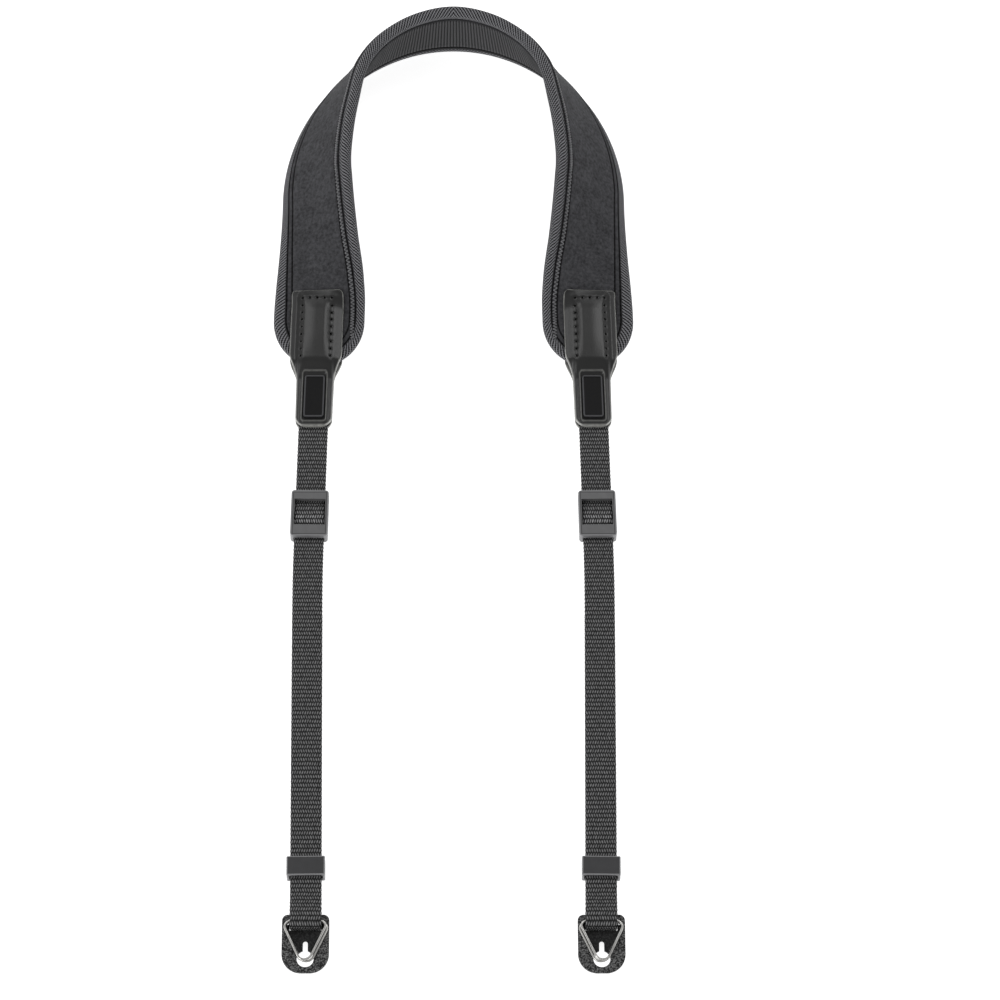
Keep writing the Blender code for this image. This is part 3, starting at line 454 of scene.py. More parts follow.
lap_inset = np.array([3.84, 3.7, 3.0, 2.2]) * 0.001
outside_inset = np.concatenate([lap_inset, TAPE_ROUND * (1 - np.sin(turn)),
                                TAPE_ROUND * (1 - np.cos(turn[1:])), lap_inset[::-1]])
outside_share = np.concatenate([[0.86, 0.97, 1.0, 1.0], np.cos(turn), -np.sin(turn[1:]),
                                [-1.0, -1.0, -0.97, -0.86]])
outside_share = np.sign(outside_share) * np.abs(outside_share) ** 0.8
outside = tape_rings(outside_inset, outside_share[:, None] * rim)
inside_share = np.array([-1.0, -1.0, -0.6, 0.6, 1.0, 1.0])[:, None]
inside = tape_rings(np.array([3.8, 2.4, 1.2, 1.2, 2.4, 3.8]) * 0.001, inside_share * (rim - TAPE))
tape_points = np.concatenate([outside, inside, outside[:1]])
tape_across = ring_length(tape_points[:, 200])[:, None]
at_arch = length[0, np.flatnonzero(rim_run > half_pad - 1e-6)]
from_arch = np.abs(length[..., None] - at_arch).min(axis=-1)
tape = surface("pad_binding_tape", (tape_points, flat_uv(tape_points, from_arch, tape_across)), sharp=50)

# Herringbone polyester tape: slanting lines of lighter floats over a dark ground. They are drawn
# 1.25 mm apart along the tape, where the real ones stand 0.7 mm apart; the slant turns at the arch.
twill, tree, shader = new_material("herringbone_tape", Roughness=0.78, Specular_IOR_Level=0.25)
uv = add(tree, "SeparateXYZ", [add(tree, "UVMap", uv_map="mm")]).node.outputs
slant = add(tree, "Math", [uv[1], -0.8, uv[0]], operation="MULTIPLY_ADD")
slant = add(tree, "Math", [slant, 2 * math.pi / 1.25], operation="MULTIPLY")
slant = add(tree, "Math", [slant], operation="SINE")
cross = add(tree, "Math", [uv[1], 0.6, uv[0]], operation="MULTIPLY_ADD")
cross = add(tree, "Math", [cross, 2 * math.pi / 0.85], operation="MULTIPLY")
cross = add(tree, "Math", [cross], operation="SINE")
floats = add(tree, "Math", [cross, 0.5, slant], operation="MULTIPLY_ADD")
yarn = add(tree, "TexNoise", {"Vector": add(tree, "UVMap", uv_map="mm"), "Scale": 1.3, "Detail": 2.0})
floats = add(tree, "Math", [yarn, 1.6, floats], operation="MULTIPLY_ADD")
tone = add(tree, "MapRange", [floats, 0.3, 1.4])
add(tree, "Mix", [tone, "#0a0a0b", "#88888c"], to=shader.inputs["Base Color"])
add(tree, "Bump", {"Strength": 0.5, "Distance": 0.00015, "Height": floats}, to=shader.inputs["Normal"])
tape.data.materials.append(twill)
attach(tape, "strap")
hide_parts("pad_binding")

# Overlock seam. A thread zigzags over the strip inside the binding along the pad's upper edge,
# from one tab over the arch to the other; it is sewn down and follows the foam.
STITCH = 0.0012
THREAD = 0.00019
THREAD_INSET = 0.00423
SWAY = 0.00072
upper = np.linspace(0.0100, half_pad, 1600)
zig_run = np.concatenate([upper, upper[-2::-1]])
zig_side = np.where(np.arange(len(zig_run)) < len(upper), -1.0, 1.0)
zig_length = np.concatenate([upper, 2 * half_pad - upper[-2::-1]])
sway = np.arcsin(0.97 * np.sin(2 * math.pi * zig_length / STITCH)) / (math.pi / 2)
zig_inset = THREAD_INSET + SWAY * sway
zig_above = thickness(zig_run) / 2 + 0.00026 - 0.00022 * np.abs(sway) ** 6
thread_line = pad_point(zig_run, zig_inset - half_width(zig_run), zig_above, zig_side)


def tube(line, radius, sides):
    """Round tube along a line: circles in the planes square to it, drawn in to points at the ends."""
    heading = unit(np.gradient(line, axis=0))
    beside = unit(np.cross(heading, [0.0, 0.0, 1.0]))
    above = np.cross(beside, heading)
    angle = np.linspace(0.0, 2 * math.pi, sides + 1)[None, :, None]
    circle = np.cos(angle) * beside[:, None] + np.sin(angle) * above[:, None]
    grid = line[:, None] + radius * circle
    first, last = (np.repeat(end[:, None], sides + 1, axis=1) for end in (line[:1], line[-1:]))
    grid = np.concatenate([first, grid, last])
    along = ring_length(grid[:, 0])[:, None]
    return grid, flat_uv(grid, along, np.linspace(0.0, 1000 * 2 * math.pi * radius, sides + 1)[None, :])


thread = surface("pad_overlock_thread", tube(thread_line, THREAD, 5))

# Spun polyester thread: grey, with a soft sheen and uneven plies
spun, tree, shader = new_material("polyester_thread", Roughness=0.6, Specular_IOR_Level=0.3)
place = add(tree, "TexCoord").node.outputs["Object"]
ply = add(tree, "TexNoise", {"Vector": place, "Scale": 1 / 0.0009, "Detail": 1.0})
add(tree, "Mix", [ply, "#3e3e40", "#9a9a9d"], to=shader.inputs["Base Color"])
thread.data.materials.append(spun)
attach(thread, "strap")

# Leather tabs. Two layers of smooth black leather close over each end of the pad; the front layer
# is pressed up over the webbing inside it and sewn down with a row of stitches open at its neck.
WEB_WIDTH = 0.010
WEB_THICKNESS = 0.0012
TABS_APART = 0.0475
RINGS_APART = 0.0471
BEND_APART = 0.0489
BEND_ROUNDING = 0.0004
BEND_Y = BAR_Y + 0.1258
TAB_Y = BAR_Y + 0.1802
TAB_LENGTH = 0.0519
TAB_WIDTH = 0.018
TAB_NECK = 0.013
TAB_NECK_END = 0.0125
TAPER = (0.0191, 0.0276)
TOP_RADIUS = 0.0016
END_RADIUS = 0.0042
PAD_AXIS = ARCH_HALF_WIDTH + PAD_SPREAD - half_width(0.0)
BADGE_MIDDLE = 0.01125
FRAME_HALF = (0.0049, 0.0103)
FRAME_CORNER = 0.0017
STITCH_ACROSS = 0.0051
STITCH_TOP = TAB_LENGTH - 0.0033
STITCH_PITCH = 0.00287
STITCHES_DOWN = 9
DOME_TOP = STITCH_TOP + 0.0002
DOME_START = 0.0200
HOLE_MM = 0.38
SIDES = (("left", -1), ("right", 1))


def strap_x(y):
    """A strap's distance from the middle: two straight lines with a rounded bend between them.

    With a and b as the lines' values it is half of a + b less the root of (a - b)^2 + rounding^2.
    """
    lower = BEND_APART + (y - BEND_Y) * (BEND_APART - RINGS_APART) / (BEND_Y - BAR_Y)
    upper = BEND_APART - (y - BEND_Y) * (BEND_APART - TABS_APART) / (TIP_Y - BEND_Y)
    return (lower + upper - np.sqrt((lower - upper) ** 2 + BEND_ROUNDING**2)) / 2


def tab_point(y, across, above, side):
    """Point over the tab: on the pad's map, with across counted from the strap's centre line."""
    return pad_point(y - TIP_Y, across + strap_x(y) - PAD_AXIS, above, side)


def seat(y):
    """Height of the webbing's underside above the pad's middle: it climbs from the back leather."""
    climb = ease((y - TIP_Y + 0.0059) / 0.0072)
    half = thickness(y - TIP_Y) / 2
    return -half + climb * (2 * half + GAP)


def tab_half(along):
    """Half width of a tab: a neck that eases out to the wide part, with round corners at both ends."""
    neck = (TAB_NECK_END + (TAB_NECK - TAB_NECK_END) * along / TAPER[0]) / 2
    half = neck + (TAB_WIDTH / 2 - neck) * ease((along - TAPER[0]) / (TAPER[1] - TAPER[0]))
    end_in = np.clip(END_RADIUS - along, 0.0, END_RADIUS)
    half = half - END_RADIUS + np.sqrt(END_RADIUS**2 - end_in**2)
    top_in = np.clip(along - TAB_LENGTH + TOP_RADIUS, 0.0, TOP_RADIUS)
    return half - TOP_RADIUS + np.sqrt(TOP_RADIUS**2 - top_in**2)


def edge_steps(length, edge, steps):
    """Places from 0 to a length, close together near both ends: edge values, then even steps."""
    edge = np.asarray(edge) * 0.001
    return np.concatenate([edge, np.linspace(edge[-1], length - edge[-1], steps)[1:-1], length - edge[::-1]])


def across_steps(half, edge, steps):
    """Places across a plate from minus to plus its half width in each row, close at both edges."""
    edge = np.asarray(edge) * 0.001
    even = (half - edge[-1]) * np.linspace(-1, 1, steps)[None, 1:-1]
    return np.concatenate([edge - half, even, half - edge[::-1]], axis=1)


def rounding(to_edge, radius):
    """Drop of a face towards its edge along a quarter circle, all in millimetres."""
    beyond = np.clip(radius - to_edge, 0, None)
    return radius - np.sqrt(np.clip(radius**2 - beyond**2, 0, None))


def slab(name, top, low, uv, sharp=None):
    """Closed plate between two grids of points: both faces and the wall round their border."""
    border = lambda grid: np.concatenate([grid[0], grid[1:, -1], grid[-1, -2::-1], grid[-2::-1, 0]])
    wall = np.stack([border(top), border(low)])
    wall_uv = np.stack([border(uv), border(uv)])
    return surface(name, (top, uv), (low, uv), (wall, wall_uv), sharp=sharp)


rows = edge_steps(TAB_LENGTH, [0.0, 0.04, 0.12, 0.24, 0.4, 0.6, 0.9, 1.3, 1.7, 2.2], 190)[:, None]
rows[0] = 0.00002
half_rows = tab_half(rows)
across = across_steps(half_rows, [0.0, 0.04, 0.12, 0.24, 0.4, 0.6, 0.9, 1.25], 58)
to_edge = np.minimum(half_rows - np.abs(across), np.minimum(rows, TAB_LENGTH - rows)) * 1000
tab_rows_y = TAB_Y + rows
rounded = rounding(to_edge, 0.45)


def stitch_holes():
    """Places of the stitch holes as (across, along): down both sides and over the top."""
    down = STITCH_TOP - STITCH_PITCH * np.arange(STITCHES_DOWN)
    over = np.linspace(-STITCH_ACROSS, STITCH_ACROSS, 5)[1:-1]
    left = np.stack([np.full(STITCHES_DOWN, -STITCH_ACROSS), down], axis=-1)
    return np.concatenate([left, left * [-1, 1], np.stack([over, np.full(3, STITCH_TOP)], axis=-1)])


# The dome over the webbing falls away beyond the stitches at its sides and top; low in the neck it
# keeps the webbing's own flat profile. Its filling swells it further, most on the side that faces in.
holes = stitch_holes()
hole_far = np.hypot(across[..., None] - holes[:, 0], rows[..., None] - holes[:, 1]).min(axis=-1)
row_side = np.maximum(np.abs(across) - STITCH_ACROSS, rows - STITCH_TOP)
row_end = np.clip(holes[:, 1].min() - 0.0008 - rows, 0.0, None)
row_far = np.hypot(row_side, row_end)
reach = np.where(across > 0, 0.0026, TAB_WIDTH / 2 - 0.0046)
fall_side = np.clip((np.abs(across) - 0.0046) / reach, 0, 1)
fall_top = np.clip((rows - DOME_TOP) / (TAB_LENGTH - DOME_TOP), 0, 1)
fall = np.clip(np.hypot(fall_side, fall_top), 0, 1)
dome = 1.0 - 0.75 * fall - 0.25 * ease(fall)
dome_low = 1.0 - ease((np.abs(across) - 0.0053) / 0.0015)
open_neck = ease((rows - DOME_START) / 0.007)
dome = dome * open_neck + dome_low * (1 - open_neck)
crown_top = ease((DOME_TOP - rows) / 0.0050)
filling = ease((rows - DOME_START) / 0.0150)
outer_flank = np.cos(math.pi / 2 * np.clip(across / 0.0050, 0, 1))
inner_flank = ease((across + 0.0052) / 0.0028)
cushion = np.where(across > 0, outer_flank, inner_flank) * 0.0008 * filling * crown_top

# The pressed frame round the badge is a ridge on a rounded rectangle, with a ledge at its lower end;
# each hole is a pit, and a shallow furrow joins the holes of a row
past_x = np.abs(across) - FRAME_HALF[0] + FRAME_CORNER
past_y = np.abs(rows - BADGE_MIDDLE) - FRAME_HALF[1] + FRAME_CORNER
past_corner = np.hypot(np.clip(past_x, 0, None), np.clip(past_y, 0, None))
past = np.maximum(past_x, past_y)
frame_far = np.where(past > 0, past_corner, past) - 0.0010
ridge = np.exp(-(frame_far / 0.00036) ** 2) * 0.00050
at_ledge = ease((0.0042 - np.abs(across)) / 0.0008)
ledge = 0.00040 * np.exp(-((rows - BADGE_MIDDLE + 0.0090) / 0.0006) ** 2) * at_ledge
pits = 0.00035 * np.exp(-(hole_far / 0.00042) ** 2)
furrow = 0.00016 * np.exp(-(row_far / 0.0007) ** 2)
flat = seat(tab_rows_y) + dome * (WEB_THICKNESS + GAP)
height = flat + LEATHER - rounded * 0.001 + cushion + ridge + ledge - pits - furrow
# Distance in mm for the paler paint: to the tab's edges and lower end (pared edge and painted highlight) and
# to the frame's ridge (painted highlight)
pared_and_highlit_mm = np.minimum(np.minimum(to_edge, rows * 450), 0.25 + np.abs(frame_far) * 450)

# Smooth box-calf leather: near black with a broad soft shine, painted paler at the tab's edges and
# lower end, partly the pale pared edge and partly painted highlight, and along the frame's ridge as
# a painted highlight
calf, tree, shader = new_material("smooth_leather", Roughness=0.38, IOR=1.6)
uv = add(tree, "SeparateXYZ", [add(tree, "UVMap", uv_map="mm")]).node.outputs
place = add(tree, "TexCoord").node.outputs["Object"]
cloud = add(tree, "TexNoise", {"Vector": place, "Scale": 1 / 0.004, "Detail": 4.0})
colour = add(tree, "Mix", [cloud, "#050505", "#111110"])
pared_and_highlit = add(tree, "MapRange", [uv[0], 0.02, 0.42, 1.0, 0.0])
scuff = add(tree, "TexNoise", {"Vector": place, "Scale": 1 / 0.0015, "Detail": 3.0})
scuff = add(tree, "MapRange", [scuff, 0.3, 0.6, 0.6, 1.0])
pared_and_highlit = add(tree, "Math", [pared_and_highlit, scuff], operation="MULTIPLY")
colour = add(tree, "Mix", [pared_and_highlit, colour, "#a2a29e"])
# Painted shade: each stitch hole is painted near black out to 0.64 mm from its middle, as the shade in the
# hole together with its black thread
hole_shade_and_thread = add(tree, "MapRange", [uv[1], 0.42, 0.64, 1.0, 0.0])
add(tree, "Mix", [hole_shade_and_thread, colour, "#040404"], to=shader.inputs["Base Color"])
pores = add(tree, "TexVoronoi", {"Vector": place, "Scale": 1 / 0.00045})
fine = add(tree, "TexNoise", {"Vector": place, "Scale": 1 / 0.0012, "Detail": 5.0})
grain = add(tree, "Math", [pores, fine], operation="ADD")
add(tree, "Bump", {"Strength": 0.16, "Distance": 0.0001, "Height": grain}, to=shader.inputs["Normal"])

# Inside of a stitch hole: raw leather in shadow, with the end of a black waxed thread
hollow, _, _ = new_material("waxed_thread_hole", Base_Color="#020202", Roughness=0.9,
                            Specular_IOR_Level=0.05)
tab_uv = np.stack([pared_and_highlit_mm, hole_far * 1000], axis=-1)
# The back leather is painted paler within about 3 mm of its edges, pared edge and painted highlight
plain_uv = np.stack([to_edge * 0.15, np.full(to_edge.shape, 9.0)], axis=-1)
back_top = np.broadcast_to(-thickness(tab_rows_y - TIP_Y) / 2 - GAP, across.shape)
back_low = back_top - LEATHER + rounded * 0.0004
for label, side in SIDES:
    front = slab(f"tab_front_leather_{label}", tab_point(tab_rows_y, across, height, side),
                 tab_point(tab_rows_y, across, flat, side), tab_uv, sharp=70)
    front.data.materials.append(calf)
    front.data.materials.append(hollow)
    corner_uv = np.empty(len(front.data.loops) * 2)
    front.data.uv_layers["mm"].data.foreach_get("uv", corner_uv)
    far_mm = corner_uv.reshape(-1, 4, 2)[:, :, 1].mean(axis=1)
    front.data.polygons.foreach_set("material_index", (far_mm < HOLE_MM).astype(np.int32))
    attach(front, "strap")
    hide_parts(f"tab_front_{label}")
    back = slab(f"tab_back_leather_{label}", tab_point(tab_rows_y, across, back_top, side),
                tab_point(tab_rows_y, across, back_low, side), plain_uv, sharp=50)
    back.data.materials.append(calf)
    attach(back, "strap")
    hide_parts(f"tab_back_{label}")

# Badges. A small moulded rubber plate with a raised rim is set in the pressed frame on each tab's
# neck. Its face is left bare.
BADGE_WIDTH = 0.0069
BADGE_LENGTH = 0.0161
BADGE_THICKNESS = 0.0006
BADGE_CORNER = 0.0010
badge_edges = [0.0, 0.03, 0.08, 0.16, 0.3, 0.45, 0.6, 0.8]
badge_rows = edge_steps(BADGE_LENGTH, badge_edges, 30)[:, None]
to_end = np.minimum(badge_rows, BADGE_LENGTH - badge_rows)
corner = np.clip(BADGE_CORNER - to_end, 0.0, None)
badge_half = BADGE_WIDTH / 2 - BADGE_CORNER + np.sqrt(BADGE_CORNER**2 - corner**2)
badge_across = across_steps(badge_half, badge_edges, 14)
badge_in = np.minimum(badge_half - np.abs(badge_across), to_end) * 1000
sunk = 0.22 * ease((badge_in - 0.42) / 0.16)
badge_y = TAB_Y + BADGE_MIDDLE - BADGE_LENGTH / 2 + badge_rows
badge_low = np.broadcast_to(seat(badge_y) + WEB_THICKNESS + LEATHER + 1.2 * GAP, badge_across.shape)
badge_top = badge_low + BADGE_THICKNESS + 0.0002 - (rounding(badge_in, 0.2) + sunk) * 0.001
badge_uv = flat_uv(badge_in, badge_in, badge_rows * 1000)

# Moulded soft PVC rubber: deep black and finely etched, with its rim painted grey as a painted
# highlight
rubber, tree, shader = new_material("moulded_rubber", Roughness=0.5, Specular_IOR_Level=0.2)
place = add(tree, "TexCoord").node.outputs["Object"]
dust = add(tree, "TexNoise", {"Vector": place, "Scale": 1 / 0.0008, "Detail": 4.0})
colour = add(tree, "Mix", [dust, "#040405", "#121213"])
uv = add(tree, "SeparateXYZ", [add(tree, "UVMap", uv_map="mm")]).node.outputs
# Painted highlight: the badge's rim is painted grey where it rounds off from the face
wear_and_sheen = add(tree, "MapRange", [uv[0], 0.42, 0.56, 0.55, 0.0])
add(tree, "Mix", [wear_and_sheen, colour, "#6c6c6f"], to=shader.inputs["Base Color"])
etched = add(tree, "TexNoise", {"Vector": place, "Scale": 1 / 0.0003, "Detail": 2.0})
add(tree, "Bump", {"Strength": 0.25, "Distance": 0.00005, "Height": etched}, to=shader.inputs["Normal"])
for label, side in SIDES:
    badge = slab(f"badge_plate_{label}", tab_point(badge_y, badge_across, badge_top, side),
                 tab_point(badge_y, badge_across, badge_low, side), badge_uv, sharp=60)
    badge.data.materials.append(rubber)
    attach(badge, "strap")
    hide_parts(f"badge_{label}")

# Webbing. A 10 mm nylon tape woven in plain ribs comes out of each tab, crosses the slider's
# middle bar, folds round the ring's bar and lies back under itself to a free end.
SLIDER_Y = BAR_Y + 0.1378
SLIDER_LENGTH = 0.0172
WIRE = 0.0008
PITCH = 0.0009
RING_CLEAR = 0.0002
BAR_Z = 0.0038197
FOLD_INSIDE = math.hypot(WIRE / 2, (PITCH + WIRE) / 2) + RING_CLEAR
KEEPER_FLOOR = 0.0009
CREST_UNDER = 0.0022
WEAVE = 1.52
FLOAT = 0.81
neck_z = LEATHER + GAP + WEB_THICKNESS / 2
rear_z = KEEPER_FLOOR + GAP + WEB_THICKNESS / 2
front_z = rear_z + WEB_THICKNESS + GAP
crest_z = CREST_UNDER + GAP + WEB_THICKNESS / 2
fold_z = BAR_Z + FOLD_INSIDE + WEB_THICKNESS / 2
crest_y = SLIDER_Y + SLIDER_LENGTH - 0.0082
over_marks = np.array([
    (TAB_Y + END_RADIUS, neck_z), (SLIDER_Y + SLIDER_LENGTH - 0.0032, neck_z), (crest_y + 0.0016, crest_z),
    (crest_y - 0.0016, crest_z), (SLIDER_Y + 0.0042, neck_z), (SLIDER_Y, neck_z),
    (BAR_Y + 0.1193, front_z), (BAR_Y + 0.0102, front_z), (BAR_Y + 0.0012, fold_z), (BAR_Y, fold_z)])
under_marks = np.array([(BAR_Y + 0.0012, WEB_THICKNESS / 2), (BAR_Y + 0.0102, rear_z),
                        (BAR_Y + 0.1093, rear_z)])


def eased_line(marks, steps=24):
    """Line through marks in (y, z), easing in height between each two."""
    share = np.linspace(0.0, 1.0, steps, endpoint=False)[None, :]
    y = marks[:-1, :1] + (marks[1:, :1] - marks[:-1, :1]) * share
    z = marks[:-1, 1:] + (marks[1:, 1:] - marks[:-1, 1:]) * ease(share)
    return np.concatenate([np.stack([y.ravel(), z.ravel()], axis=-1), marks[-1:]])


def quarter_turns():
    """Line round the ring's bar and under it: two arcs, of the fold's and of the foot's radius."""
    big = FOLD_INSIDE + WEB_THICKNESS / 2
    small = GAP + WEB_THICKNESS / 2
    turn = np.linspace(0.0, math.pi / 2, 14)
    over = np.stack([BAR_Y - big * np.sin(turn), BAR_Z + big * np.cos(turn)], axis=-1)
    foot_y, foot_z = BAR_Y - big + small, WEB_THICKNESS / 2 + small
    foot = np.stack([foot_y - small * np.cos(turn), foot_z - small * np.sin(turn)], axis=-1)
    return np.concatenate([over, foot])


profile = np.concatenate([eased_line(over_marks)[:-1], quarter_turns(), eased_line(under_marks)])
hidden_y = np.linspace(TIP_Y + 0.0235, TAB_Y + END_RADIUS + 0.0004, 120)
start_above = seat(hidden_y) + WEB_THICKNESS / 2
web_share = np.sin(np.linspace(-math.pi / 2, math.pi / 2, 27))


def webbing_grid(side):
    """Closed band: an even run of rounded flat sections along the route, with scalloped edges.

    Half width = 5.1 mm less a scallop of 0.14 mm each 1.52 mm; half thickness = 0.6 mm times
    (1 - |x|^10)^(1/2), x from -1 to 1 across.
    """
    hidden = tab_point(hidden_y, 0.0, start_above, side)
    hidden_beside = tab_point(hidden_y, 0.001, start_above, side) - hidden
    shown = np.stack([side * strap_x(profile[:, 0]), profile[:, 0], profile[:, 1]], axis=-1)
    line = np.concatenate([hidden, shown])
    beside = np.concatenate([hidden_beside / 0.001, np.tile([side * 1.0, 0.0, 0.0], (len(shown), 1))])
    far = np.concatenate([[0.0], np.cumsum(np.linalg.norm(np.diff(line, axis=0), axis=1))])
    keep = np.concatenate([[True], np.diff(far) > 1e-7])
    at = np.arange(0.0, far[-1], 0.00035)
    even = lambda values: np.stack([np.interp(at, far[keep], values[keep, k]) for k in range(3)], axis=-1)
    line, beside = even(line), unit(even(beside))
    heading = unit(np.gradient(line, axis=0))
    rise = unit(side * np.cross(heading, beside))
    lobe = np.cos(2 * math.pi * at * 1000 / WEAVE)[:, None]
    edge = np.where(web_share > 0, 1.0, -1.0)[None, :]
    half = WEB_WIDTH / 2 + 0.0001 - 0.00007 * (1 + edge * lobe)
    x = half * web_share[None, :]
    z = WEB_THICKNESS / 2 * np.sqrt(np.clip(1 - np.abs(web_share) ** 10, 0, None))[None, :]
    z = z * (1 + 0.05 * lobe)
    upper = line[:, None] + x[..., None] * beside[:, None] + z[..., None] * rise[:, None]
    lower = line[:, None] + x[..., None] * beside[:, None] - z[..., None] * rise[:, None]
    mm = 1000 * at[:, None]
    return upper, lower, flat_uv(upper, mm, x * 1000)


# Plain-woven nylon webbing: rows of slanting floats 1.52 mm apart, each float 0.81 mm wide, with a
# painted sheen on their tops and painted shade between them. Every second row is set half a float
# aside and leans the other way. The nylon is rubbed paler below the slider's middle bar.
nylon, tree, shader = new_material("nylon_webbing", Roughness=0.6, Specular_IOR_Level=0.25)
uv = add(tree, "SeparateXYZ", [add(tree, "UVMap", uv_map="mm")]).node.outputs
row = add(tree, "Math", [uv[0], 1 / WEAVE], operation="MULTIPLY")
odd = add(tree, "Math", [row], operation="FLOOR")
odd = add(tree, "Math", [odd, 2.0], operation="FLOORED_MODULO")
up_row = add(tree, "Math", [row], operation="FRACT")
up_row = add(tree, "Math", [up_row, 0.5], operation="SUBTRACT")
lean = add(tree, "Math", [odd, 1.0, -0.5], operation="MULTIPLY_ADD")
lean = add(tree, "Math", [lean, up_row], operation="MULTIPLY")
aside = add(tree, "Math", [odd, 0.5, lean], operation="MULTIPLY_ADD")
column = add(tree, "Math", [uv[1], 1 / FLOAT, aside], operation="MULTIPLY_ADD")
in_float = add(tree, "Math", [column], operation="FRACT")
in_float = add(tree, "Math", [in_float, 0.5], operation="SUBTRACT")
round_float = add(tree, "Math", [in_float, in_float], operation="MULTIPLY")
round_float = add(tree, "Math", [round_float, -5.0, 1.0], operation="MULTIPLY_ADD", use_clamp=True)
round_row = add(tree, "Math", [up_row, up_row], operation="MULTIPLY")
round_row = add(tree, "Math", [round_row, -3.2, 1.0], operation="MULTIPLY_ADD", use_clamp=True)
floats = add(tree, "Math", [round_row, round_float], operation="MULTIPLY", use_clamp=True)
uneven = add(tree, "TexNoise", {"Vector": add(tree, "UVMap", uv_map="mm"), "Scale": 0.9, "Detail": 2.0})
uneven = add(tree, "MapRange", [uneven, 0.3, 0.7, 0.65, 1.15])
# Painted sheen and shade: the floats' tops are painted pale and the ground between them near black
lit = add(tree, "Math", [floats, uneven], operation="MULTIPLY")
tone = add(tree, "MapRange", [lit, 0.24, 0.95])
spot = add(tree, "SeparateXYZ", [add(tree, "TexCoord").node.outputs["Object"]]).node.outputs
from_bar = add(tree, "Math", [spot[1], crest_y - 0.0030], operation="SUBTRACT")
from_bar = add(tree, "Math", [from_bar], operation="ABSOLUTE")
wear_and_sheen = add(tree, "MapRange", [from_bar, 0.0012, 0.0040, 0.85, 0.0])
pale = add(tree, "Mix", [wear_and_sheen, "#8c8c8d", "#c8c8ca"])
add(tree, "Mix", [tone, "#0c0c0d", pale], to=shader.inputs["Base Color"])
add(tree, "Bump", {"Strength": 0.7, "Distance": 0.00022, "Height": floats}, to=shader.inputs["Normal"])
for label, side in SIDES:
    upper_face, lower_face, web_uv = webbing_grid(side)
    band = slab(f"webbing_band_{label}", upper_face, lower_face, web_uv, sharp=60)
    band.data.materials.append(nylon)
    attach(band, "strap")
    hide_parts(f"webbing_{label}")

# Sliders. A moulded plastic frame of two rails with a foot inside each, and three bars: the webbing
# passes under both end bars and over the middle one, which pinches it.
RAIL = 0.00105
ROOM = 0.00025
FOOT = 0.0005
SLIDER_HEIGHT = 0.0048
LIP = 0.0007


def cells(name, lines, filled, middle, turned, bevel, corner=0.0):
    """Closed solid of the filled cells of a box grid, its plan corners and then its edges rounded.

    filled[i, j, k] says whether the cell between lines x[i], x[i+1] and so on is solid; a face is
    made wherever a filled cell meets an empty one. It is then turned and moved to its middle.
    """
    solid = np.pad(filled, 1)
    grid = np.stack(np.meshgrid(*lines, indexing="ij"), axis=-1)
    index = np.arange(grid[..., 0].size).reshape(grid.shape[:3])
    faces = []
    for axis in range(3):
        core = np.moveaxis(solid, axis, 0)
        ids = np.moveaxis(index, axis, 0)
        a, b, c = np.argwhere((core[:-1] != core[1:])[:, 1:-1, 1:-1]).T
        corners = [ids[a, b, c], ids[a, b + 1, c], ids[a, b + 1, c + 1], ids[a, b, c + 1]]
        faces.append(np.stack(corners, axis=-1))
    used, faces = np.unique(np.concatenate(faces), return_inverse=True)
    mesh = bpy.data.meshes.new(name)
    mesh.from_pydata(grid.reshape(-1, 3)[used].tolist(), [], faces.reshape(-1, 4).tolist())
    shape = bmesh.new()
    shape.from_mesh(mesh)
    bmesh.ops.recalc_face_normals(shape, faces=shape.faces)
    if corner > 0.0:
        reach = (lines[0][-1] - 1e-6, lines[1][-1] - 1e-6)
        at_corner = {v for v in shape.verts if abs(v.co.x) > reach[0] and abs(v.co.y) > reach[1]}
        upright = [e for e in shape.edges if e.verts[0] in at_corner and e.verts[1] in at_corner]
        bmesh.ops.bevel(shape, geom=upright, offset=corner, segments=5, profile=0.5, affect="EDGES")
    shape.to_mesh(mesh)
    shape.free()
    mesh.transform(Matrix.Translation((*middle, 0.0)) @ Matrix.Rotation(turned, 4, "Z"))
    piece = shaded_piece(name, mesh)
    round_edges = piece.modifiers.new("rounded_edges", "BEVEL")
    round_edges.width = bevel
    round_edges.segments = 3
    round_edges.limit_method = "ANGLE"
    round_edges.angle_limit = math.radians(40)
    round_edges.harden_normals = True
    # The bevel's faces take the second material: the paler copy painted as an edge highlight
    round_edges.material = 1
    return piece


def strap_turn(y):
    """Angle of a strap's centre line from +Y."""
    return math.atan((strap_x(y + 0.001) - strap_x(y - 0.001)) / 0.002)


rail_in = WEB_WIDTH / 2 + ROOM
rail_out = rail_in + RAIL
slider_half = SLIDER_LENGTH / 2
slider_middle = SLIDER_Y + slider_half
slider_lines = (np.array([-rail_out, -rail_in, -rail_in + FOOT, rail_in - FOOT, rail_in, rail_out]),
                np.array([0.0, 0.0042, SLIDER_LENGTH - 0.0098, SLIDER_LENGTH - 0.0066,
                          SLIDER_LENGTH - 0.0032, SLIDER_LENGTH]) - slider_half,
                np.array([0.0, 0.0008, CREST_UNDER, neck_z + 0.0009, SLIDER_HEIGHT]))
slider_full = np.zeros((5, 5, 4), dtype=bool)
slider_full[0::4] = True
slider_full[:, 0::4, 3] = True
slider_full[:, 2, 1] = True
slider_full[[1, 3], :, 0] = True


